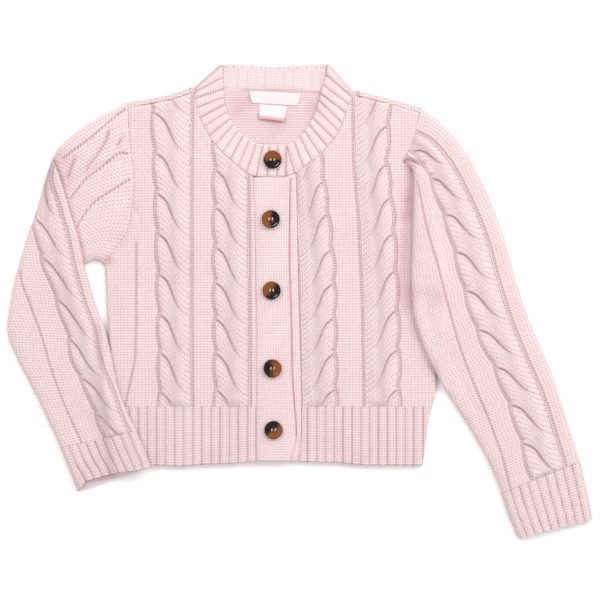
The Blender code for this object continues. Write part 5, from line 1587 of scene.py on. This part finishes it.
def build_band(name, left_line, right_line, low_line, top_line, under_of, seam_is_left):
    """A band between two side lines, bent to its hem and its upper end."""
    ys = np.linspace(BAND_LOW, BAND_HIGH, round((BAND_HIGH - BAND_LOW) * 3 / ROW) + 1)
    x, y = clamped(ys, edge_x(left_line, ys), edge_x(right_line, ys), BAND_STEP)
    from_left = x - edge_x(left_line, ys)[:, None]
    from_right = edge_x(right_line, ys)[:, None] - x
    low, top = np.array(low_line, float), np.array(top_line, float)
    at_low = (np.interp(x, low[:, 0], low[:, 1]) - BAND_LOW) * smoothstep((BAND_LOW + 30 - y) / 30)
    at_top = (np.interp(x, top[:, 0], top[:, 1]) - BAND_HIGH) * smoothstep((y - BAND_HIGH + 20) / 20)
    y = y + at_low + at_top
    count = from_right / FINE_RIB
    side = np.abs(count % 1 - 0.5) * 2
    relief = FINE_RIB_RISE * (1 - side ** 3)
    from_seam, from_free = (from_left, from_right) if seam_is_left else (from_right, from_left)
    away = np.minimum(from_free, y - y[0])
    full = rounding(away, BAND_ROUND) * seam_valley(np.minimum(from_seam, y[-1] - y))
    stitch = 0.7 * knit_rise(count, y / ROW)
    z = under_of(x, from_left) + BAND_WALL - 0.2 + (relief + stitch) * full
    z -= BAND_DROP * (1 - full)
    z += waves(x, y, 0.15) * full
    # Painted shade in the grooves of the fine ribs, at the rounded edges and at the listed places
    dark = np.clip(0.35 * side ** 6 + 0.2 * (1 - full) + soft_shade(x, y), 0, 1)
    top_side = grid(x, y, z, count, y / ROW, 0.0, dark)

    def under(px, py):
        return under_of(px, px - np.interp(py, left_line[::-1, 1], left_line[::-1, 0]))

    shell = [with_skirt(top_side, under), underside(top_side, under, 8)]
    return dress(cloth_object("knitted_" + name, shell, ribbed_yarn), name)


def sloped_under(x, past):
    """The upper band's underside, which comes down to its seam."""
    return BAND_UNDER - BAND_SLOPE_DROP * (1 - smoothstep(past / BAND_SLOPE))


def level_under(x, past):
    """The lower band's underside, level on the back."""
    return FRONT_UNDER + 0 * x


upper_seam = smooth(CLOSURE_RIGHT) + np.array([SEAM_GAP, 0.0])
upper_free = smooth(BAND_FREE_EDGE)
buttonhole_band = build_band(
    "buttonhole_band", upper_seam, upper_free, ((-46, -167), (-12, -167)),
    ((-49, 129), (-40, 128.95), (-33, 128.9), (-11, 128.9)), sloped_under, True)
lower_seam = smooth(CLOSURE_LEFT) - np.array([SEAM_GAP, 0.0])
lower_free = np.array([(BUTTON_BAND_FREE_X, BAND_HIGH), (BUTTON_BAND_FREE_X, BAND_LOW)])
button_band = build_band(
    "button_band", lower_free, lower_seam, ((-36, hem_y(-36)), (-2.4, hem_y(-2.4))),
    BUTTON_BAND_TOP, level_under, False)
print("bands:", buttonhole_band.name, button_band.name)

# %% [markdown]
# The buttons are polyester, cast as rods in two colours, then sliced, turned and
# polished, so each shows a brown and a near-black half with a blurred border, and a
# hard clear gloss. Noise with a strong distortion gives the veins of the poured brown.

# %% Cast polyester
BROWN, BROWN_LIT, NEAR_BLACK = "#4a220a", "#9e5c24", "#0b0706"


def cast_polyester(name):
    """Two poured colours; tone says on which side of the border a point lies."""
    material, tree, add, where = new_material(name)
    tone = add("Attribute", output="Fac", attribute_name="tone")
    swirl = add("TexNoise", {"Vector": where, "Scale": 1 / (6.0 * MM), "Detail": 4.0,
                             "Distortion": 1.6})
    veins = add("TexNoise", {"Vector": where, "Scale": 1 / (2.6 * MM), "Detail": 3.0,
                             "Distortion": 2.5})
    scratches = add("TexNoise", {"Vector": where, "Scale": 1 / (1.5 * MM), "Detail": 5.0})
    border = add("Math", (tone, 2.6, -1.1), operation="MULTIPLY_ADD")
    border = add("Math", (swirl, 3.2, border), operation="MULTIPLY_ADD", use_clamp=True)
    colour = add("Mix", {0: veins, 6: BROWN, 7: BROWN_LIT}, 2, data_type="RGBA")
    colour = add("Mix", {0: border, 6: NEAR_BLACK, 7: colour}, 2, data_type="RGBA")
    bump = add("Bump", {"Height": scratches, "Strength": 0.08, "Distance": 0.1 * MM})
    rough = add("Math", (scratches, 0.06, 0.05), operation="MULTIPLY_ADD")
    finish(tree, colour, rough, bump, {"IOR": 1.5, "Specular IOR Level": 0.3})
    return material


polyester = cast_polyester("cast_polyester")
print("button material:", polyester.name)

# %% [markdown]
# Sewing thread is cotton, twisted from plies, which show as slanting stripes with painted
# shade between them. A wave texture gives them. Real plies turn in about 0.4 mm; these
# take 0.8 mm, so they show.

# %% Sewing thread
PLY_LAY = 0.8          # how far one turn of the plies runs


def spun_thread(name, light, dark):
    """Plied thread: its own light colour on the plies, and painted shade between them."""
    material, tree, add, where = new_material(name)
    plies = add("TexWave", {"Vector": where, "Scale": 1 / (PLY_LAY * MM) / 6.3, "Distortion": 1.0},
                "Fac", bands_direction="DIAGONAL")
    fuzz = add("TexNoise", {"Vector": where, "Scale": 1 / (0.6 * MM)})
    colour = add("Mix", {0: plies, 6: dark, 7: light}, 2, data_type="RGBA")
    bump = add("Bump", {"Height": plies, "Strength": 0.5, "Distance": 0.12 * MM})
    rough = add("Math", (fuzz, 0.2, 0.5), operation="MULTIPLY_ADD")
    finish(tree, colour, rough, bump, {"IOR": 1.5, "Sheen Weight": 0.2})
    return material


# The second colour of each is painted shade between the plies
cream_thread = spun_thread("cream_cotton_thread", "#f3e6dc", "#b89a88")
pink_thread = spun_thread("pink_cotton_thread", "#f6e0df", "#d9b3b5")
print("threads:", cream_thread.name, pink_thread.name)

# %% [markdown]
# A rim, a groove and a dish are turned into each button, and four holes are drilled. A
# list of radii and heights is carried round in rings of points, and the holes push the
# nearest points down, so all of it is one closed mesh.

# %% Buttons
BUTTONS = (
    # x, y, direction in which the brown half lies, in degrees
    (-29, 147, 90), (-31, 85, 180), (-30, 11, 135), (-29, -70, 0), (-28, -134, -45),
)
BUTTON_PROFILE = ((8.2, 0.0), (9.0, 0.35), (9.4, 1.0), (9.5, 1.7), (9.35, 2.4), (9.0, 2.95),
                  (8.6, 3.3), (8.3, 3.4), (8.0, 3.38), (7.6, 3.24), (7.0, 2.92), (6.6, 2.76),
                  (6.2, 2.7), (5.4, 2.66), (4.7, 2.6), (4.1, 2.5), (3.6, 2.3))
BUTTON_RADIUS = 9.5
HOLE_X, HOLE_Y, HOLE_RADIUS, HOLE_DEPTH = 1.75, 1.3, 0.85, 2.0
BUTTON_SIDES = 72


def button_mesh(number, x0, y0, base, direction):
    """One button at its place; direction is where its brown half lies."""
    inner = [(r, 2.2) for r in np.arange(3.4, 0.1, -0.2)] + [(0.0, 2.2)]
    rings = np.array([(0.0, 0.0), (5.0, 0.0)] + list(BUTTON_PROFILE) + inner)
    turns = np.linspace(0, 2 * math.pi, BUTTON_SIDES + 1)
    turns[-1] = 0.0
    x = rings[:, 0:1] * np.cos(turns)[None, :]
    y = rings[:, 0:1] * np.sin(turns)[None, :]
    z = rings[:, 1:2] + 0 * x
    upper = (np.arange(len(rings)) > 12)[:, None]
    for sx in (-1, 1):
        for sy in (-1, 1):
            away = np.hypot(x - sx * HOLE_X, y - sy * HOLE_Y)
            well = smoothstep((HOLE_RADIUS + 0.15 - away) / 0.3)
            z -= HOLE_DEPTH * well * upper
    surface = grid(x + x0, y + y0, z + base, x, y)
    made = cloth_object(f"cast_button_{number}", [surface], polyester)
    points = np.array([v.co for v in made.data.vertices]) / MM
    aim = np.array([math.cos(math.radians(direction)), math.sin(math.radians(direction))])
    tone = (points[:, :2] - np.array([x0, y0])) @ aim / BUTTON_RADIUS
    layer = made.data.attributes.new("tone", "FLOAT", "POINT")
    layer.data.foreach_set("value", tone.astype(np.float32))
    made.data.set_sharp_from_angle(angle=math.radians(40))
    return dress(made, f"button_{number}")


print("a button is", 2 * BUTTON_RADIUS, "mm across")

# %% [markdown]
# Thread holds each button in two parallel pairs of stitches, which dive into the holes.
# A stitch is a line of points with rings round them, bowed up in the middle.

# %% Threads in the buttons
THREAD_RADIUS = 0.28


def cord_grid(line, radius, sides=10):
    """A round thread along a line, as a grid of rings."""
    run = np.gradient(line, axis=0)
    run /= np.linalg.norm(run, axis=1)[:, None]
    side = np.cross(run, [0.0, 0.0, 1.0])
    side /= np.maximum(np.linalg.norm(side, axis=1), 1e-9)[:, None]
    up = np.cross(side, run)
    turns = np.linspace(0, 2 * math.pi, sides + 1)
    turns[-1] = 0.0
    radius = np.broadcast_to(radius, (len(line),))[:, None, None]
    p = line[:, None] + radius * (np.cos(turns)[None, :, None] * side[:, None]
                                  + np.sin(turns)[None, :, None] * up[:, None])
    tube = grid(p[..., 0], p[..., 1], p[..., 2], turns[None, :], line[:, :1])
    return [turned(tube), end_cap(row_of(tube, 0)), turned(end_cap(row_of(tube, -1)))]


def button_thread(number, x0, y0, base):
    """Two pairs of stitches that run side by side from hole to hole."""
    grids = []
    for sx in (-1, 1):
        for shift in (-0.3, 0.28):
            t = np.linspace(-1, 1, 19)
            rise = 2.35 + 0.75 * (1 - t ** 4) - 1.3 * np.abs(t) ** 12
            line = np.column_stack([x0 + sx * HOLE_X + shift + 0.12 * t,
                                    y0 + t * (HOLE_Y + 0.1), base + rise])
            grids += cord_grid(line, THREAD_RADIUS)
    made = cloth_object(f"thread_{number}", grids, cream_thread)
    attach(made, "root")
    return made


for number, (x0, y0, direction) in enumerate(BUTTONS, 1):
    base = BAND_TOP + GAP + (1.3 if number == 1 else 0.5)
    button_mesh(number, x0, y0, base, direction)
    button_thread(number, x0, y0, base)
print("buttons:", len(BUTTONS), "sewn on with thread", 2 * THREAD_RADIUS, "mm thick")

# %% [markdown]
# The labels are satin ribbon, woven of polyester, whose threads lie close. So it is
# smoother than the knitting, with a slight sheen and a fine weave.

# %% Woven ribbon
THREAD_PITCH = 0.6     # real ribbon has about 0.15 mm; coarser here so that it shows


def woven_satin(name):
    """White ribbon; its third value says where it is pink."""
    material, tree, add, where = new_material(name)
    place = add("Attribute", output="Vector", attribute_name="stitch")
    across, along, pink = add("SeparateXYZ", (place,)).node.outputs
    warp = add("Math", (across, 2 * math.pi / THREAD_PITCH), operation="MULTIPLY")
    warp = add("Math", (warp,), operation="SINE")
    weft = add("Math", (along, 2 * math.pi / THREAD_PITCH), operation="MULTIPLY")
    weft = add("Math", (weft,), operation="SINE")
    weave = add("Math", (warp, weft), operation="MULTIPLY")
    weave = add("Math", (weave, 0.5, 0.5), operation="MULTIPLY_ADD")
    fuzz = add("TexNoise", {"Vector": where, "Scale": 1 / (3.0 * MM), "Detail": 4.0})
    # Painted shade in the gaps of the weave
    gaps = add("Math", (weave, 0.12), operation="MULTIPLY")
    colour = add("Mix", {0: fuzz, 6: "#d6cbcc", 7: "#e8dfe0"}, 2, data_type="RGBA")
    colour = add("Mix", {0: gaps, 6: colour, 7: "#b9a5a7"}, 2, data_type="RGBA")
    colour = add("Mix", {0: pink, 6: colour, 7: "#d69aa2"}, 2, data_type="RGBA")
    bump = add("Bump", {"Height": weave, "Strength": 0.3, "Distance": 0.12 * MM})
    rough = add("Math", (fuzz, 0.15, 0.42), operation="MULTIPLY_ADD")
    finish(tree, colour, rough, bump, {"IOR": 1.5, "Sheen Weight": 0.2})
    return material


ribbon = woven_satin("woven_satin_ribbon")
print("ribbon threads every", THREAD_PITCH, "mm")

# %% [markdown]
# Two bare labels are sewn in below the neck. Their cut ends are folded under, which
# makes a thicker edge. The lower one is caught only at its upper edge, so its other
# end, which is pink, lifts a little.

# %% Labels
LABEL_MAIN = ((-54, 219), (1, 216), (-3, 203), (-51, 206))
LABEL_SIZE = ((-43, 204.8), (-14, 203), (-17, 187), (-43, 190))
LABEL_THICK, LABEL_CURL = 0.9, 2.6
LABEL_STEP = 0.7
TURNED_UNDER = (3.4, 3.2)       # width of the folds at the sides, and below


def build_label(name, corners, curl, pink_edge):
    """A ribbon between four corners: across from left to right, down from the top."""
    top_left, top_right, low_right, low_left = np.array(corners, float)
    wide, tall = np.linalg.norm(top_right - top_left), np.linalg.norm(low_left - top_left)
    s = np.linspace(0, 1, round(wide / LABEL_STEP))[None, :, None]
    t = np.linspace(0, 1, round(tall / LABEL_STEP))[:, None, None]
    p = (1 - t) * ((1 - s) * top_left + s * top_right) + t * ((1 - s) * low_left + s * low_right)
    x, y = p[..., 0], p[..., 1]
    across, down = s[..., 0] * wide + 0 * x, t[..., 0] * tall + 0 * x
    lifted = curl * t[..., 0] ** 2.5
    from_side = np.minimum(across, wide - across)
    from_end = np.minimum(from_side, np.minimum(down, tall - down))
    turned_under = smoothstep((TURNED_UNDER[0] - from_side) / 0.6) * (1 - pink_edge)
    turned_under += pink_edge * smoothstep((TURNED_UNDER[1] - (tall - down)) / 0.6)
    base = BACK_TOP + GAP
    z = base + lifted + 0.62 + 0.28 * turned_under - 0.35 * (1 - rounding(from_end, 0.8))
    z += 0.1 * np.sin(across / 4.1 + down / 6.0) * smoothstep(from_end / 3)
    pink = pink_edge * smoothstep((TURNED_UNDER[1] - (tall - down)) / 0.4)
    top = grid(x, y, z, across, down, pink)
    low = grid(x, y, base + lifted, across, down, 0.0)
    sides = [rim(row_of(top, 0), row_of(low, 0)),
             turned(rim(row_of(top, -1), row_of(low, -1))),
             turned(rim(column_of(top, 0), column_of(low, 0))),
             rim(column_of(top, -1), column_of(low, -1))]
    made = cloth_object("woven_" + name, [turned(top), low] + sides, ribbon)
    dress(made, name)
    return made


label_main = build_label("label_main", LABEL_MAIN, 0.0, 0.0)
label_size = build_label("label_size", LABEL_SIZE, LABEL_CURL, 1.0)
print("labels:", label_main.name, label_size.name)

# %% [markdown]
# Small stitches hold the main label's two ends. Each dips into the ribbon at both ends,
# and its length and slant vary as if sewn by hand.

# %% Label stitches
STITCHES_AN_END = 5
STITCH_REACH, STITCH_THICK = 0.9, 0.2


def stitch_row(start, end, count, height, slant):
    """Short stitches side by side along a line, each across it."""
    grids = []
    start, end = np.array(start, float), np.array(end, float)
    along = (end - start) / np.linalg.norm(end - start)
    aside = np.array([-along[1], along[0]])
    for k in range(count):
        middle = start + (k + 0.5) / count * (end - start)
        uneven = 1 + 0.2 * math.sin(k * 2.3)
        reach = (aside + slant * along * math.sin(k * 1.7)) * STITCH_REACH * uneven
        t = np.linspace(-1, 1, 9)
        line = np.column_stack([middle[0] + t * reach[0], middle[1] + t * reach[1],
                                height + 0.25 - 0.45 * t ** 4])
        grids += cord_grid(line, STITCH_THICK, 8)
    return grids


label_top = BACK_TOP + GAP + LABEL_THICK
stitches = stitch_row((-53.2, 217.2), (-51.0, 207.2), STITCHES_AN_END, label_top, 0.3)
stitches += stitch_row((0.0, 214.4), (-2.8, 204.8), STITCHES_AN_END, label_top, 0.3)
label_stitches = cloth_object("label_stitches", stitches, pink_thread)
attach(label_stitches, "root")
print("label stitches:", 2 * STITCHES_AN_END)

# %% [markdown]
# The cardigan lies on plain white board, matt and with a faint grain: one large face
# just below the cloth, to catch its soft shadow.

# %% Floor
FLOOR_HALF, FLOOR_Z = 3.0, -0.0005   # in metres
board, tree, add, where = new_material("matt_white_board")
grain = add("TexNoise", {"Vector": where, "Scale": 1 / (1.5 * MM), "Detail": 3.0})
colour = add("Mix", {0: grain, 6: "#fcfcfc", 7: "#ffffff"}, 2, data_type="RGBA")
bump = add("Bump", {"Height": grain, "Strength": 0.03, "Distance": 0.1 * MM})
rough = add("Math", (grain, 0.05, 0.85), operation="MULTIPLY_ADD")
finish(tree, colour, rough, bump, {"IOR": 1.45})
mesh = bpy.data.meshes.new("floor")
corners = [(x * FLOOR_HALF, y * FLOOR_HALF, FLOOR_Z)
           for x, y in ((-1, -1), (1, -1), (1, 1), (-1, 1))]
mesh.from_pydata(corners, [], [(0, 1, 2, 3)])
mesh.materials.append(board)
floor = bpy.data.objects.new("floor", mesh)
bpy.context.scene.collection.objects.link(floor)
print("floor:", floor.name)

# %% [markdown]
# In the photograph soft shadows fall to the lower left, so a large window lamp stands
# at the upper right. Yet the dished buttons shine at their lower right, from a small
# light at the upper left. So there are two lamps, and the window is hidden from glossy
# reflections. A bright sky fills the shadows and keeps the pink pale.

# %% Lights
def area_lamp(name, place, size, watts):
    """A rectangular lamp that faces the cardigan."""
    data = bpy.data.lights.new(name, "AREA")
    data.shape = "RECTANGLE"
    data.size, data.size_y = size
    data.energy = watts
    lamp = bpy.data.objects.new(name, data)
    lamp.location = place
    direction = -lamp.location
    lamp.rotation_euler = direction.to_track_quat("-Z", "Y").to_euler()
    bpy.context.scene.collection.objects.link(lamp)
    return lamp


window = area_lamp("upper_right_window", (1.5, 1.2, 1.5), (1.8, 1.4), 40)
window.visible_glossy = False
area_lamp("upper_left_lamp", (-1.2, 1.5, 1.6), (1.2, 0.28), 20)
world = bpy.data.worlds.new("pale_room")
world.use_nodes = True
world.node_tree.nodes["Background"].inputs[0].default_value = linear("#fffdfc")
world.node_tree.nodes["Background"].inputs[1].default_value = 0.8
bpy.context.scene.world = world
print("window lamp, watts:", window.data.energy)

# %% [markdown]
# The photograph was taken from straight above. A long lens far up gives nearly parallel
# lines, and its width follows from the size of the photograph's pixels on the cloth.

# %% Camera
PIXEL = 1.04 * MM      # one pixel of the photograph, on the cloth
PHOTO_WIDTH = 600      # in pixels
CAMERA_HEIGHT = 3.0
CLOTH_HEIGHT = 6 * MM  # the middle height of what is seen
SENSOR = 36.0
camera_data = bpy.data.cameras.new("overhead_camera")
camera_data.sensor_width = SENSOR
camera_data.lens = SENSOR * (CAMERA_HEIGHT - CLOTH_HEIGHT) / (PHOTO_WIDTH * PIXEL)
camera = bpy.data.objects.new("overhead_camera", camera_data)
camera.location = (-0.5 * PIXEL, PIXEL, CAMERA_HEIGHT)
bpy.context.scene.collection.objects.link(camera)
bpy.context.scene.camera = camera
bpy.context.scene.view_settings.view_transform = "Standard"
print("camera lens, mm:", round(camera_data.lens))
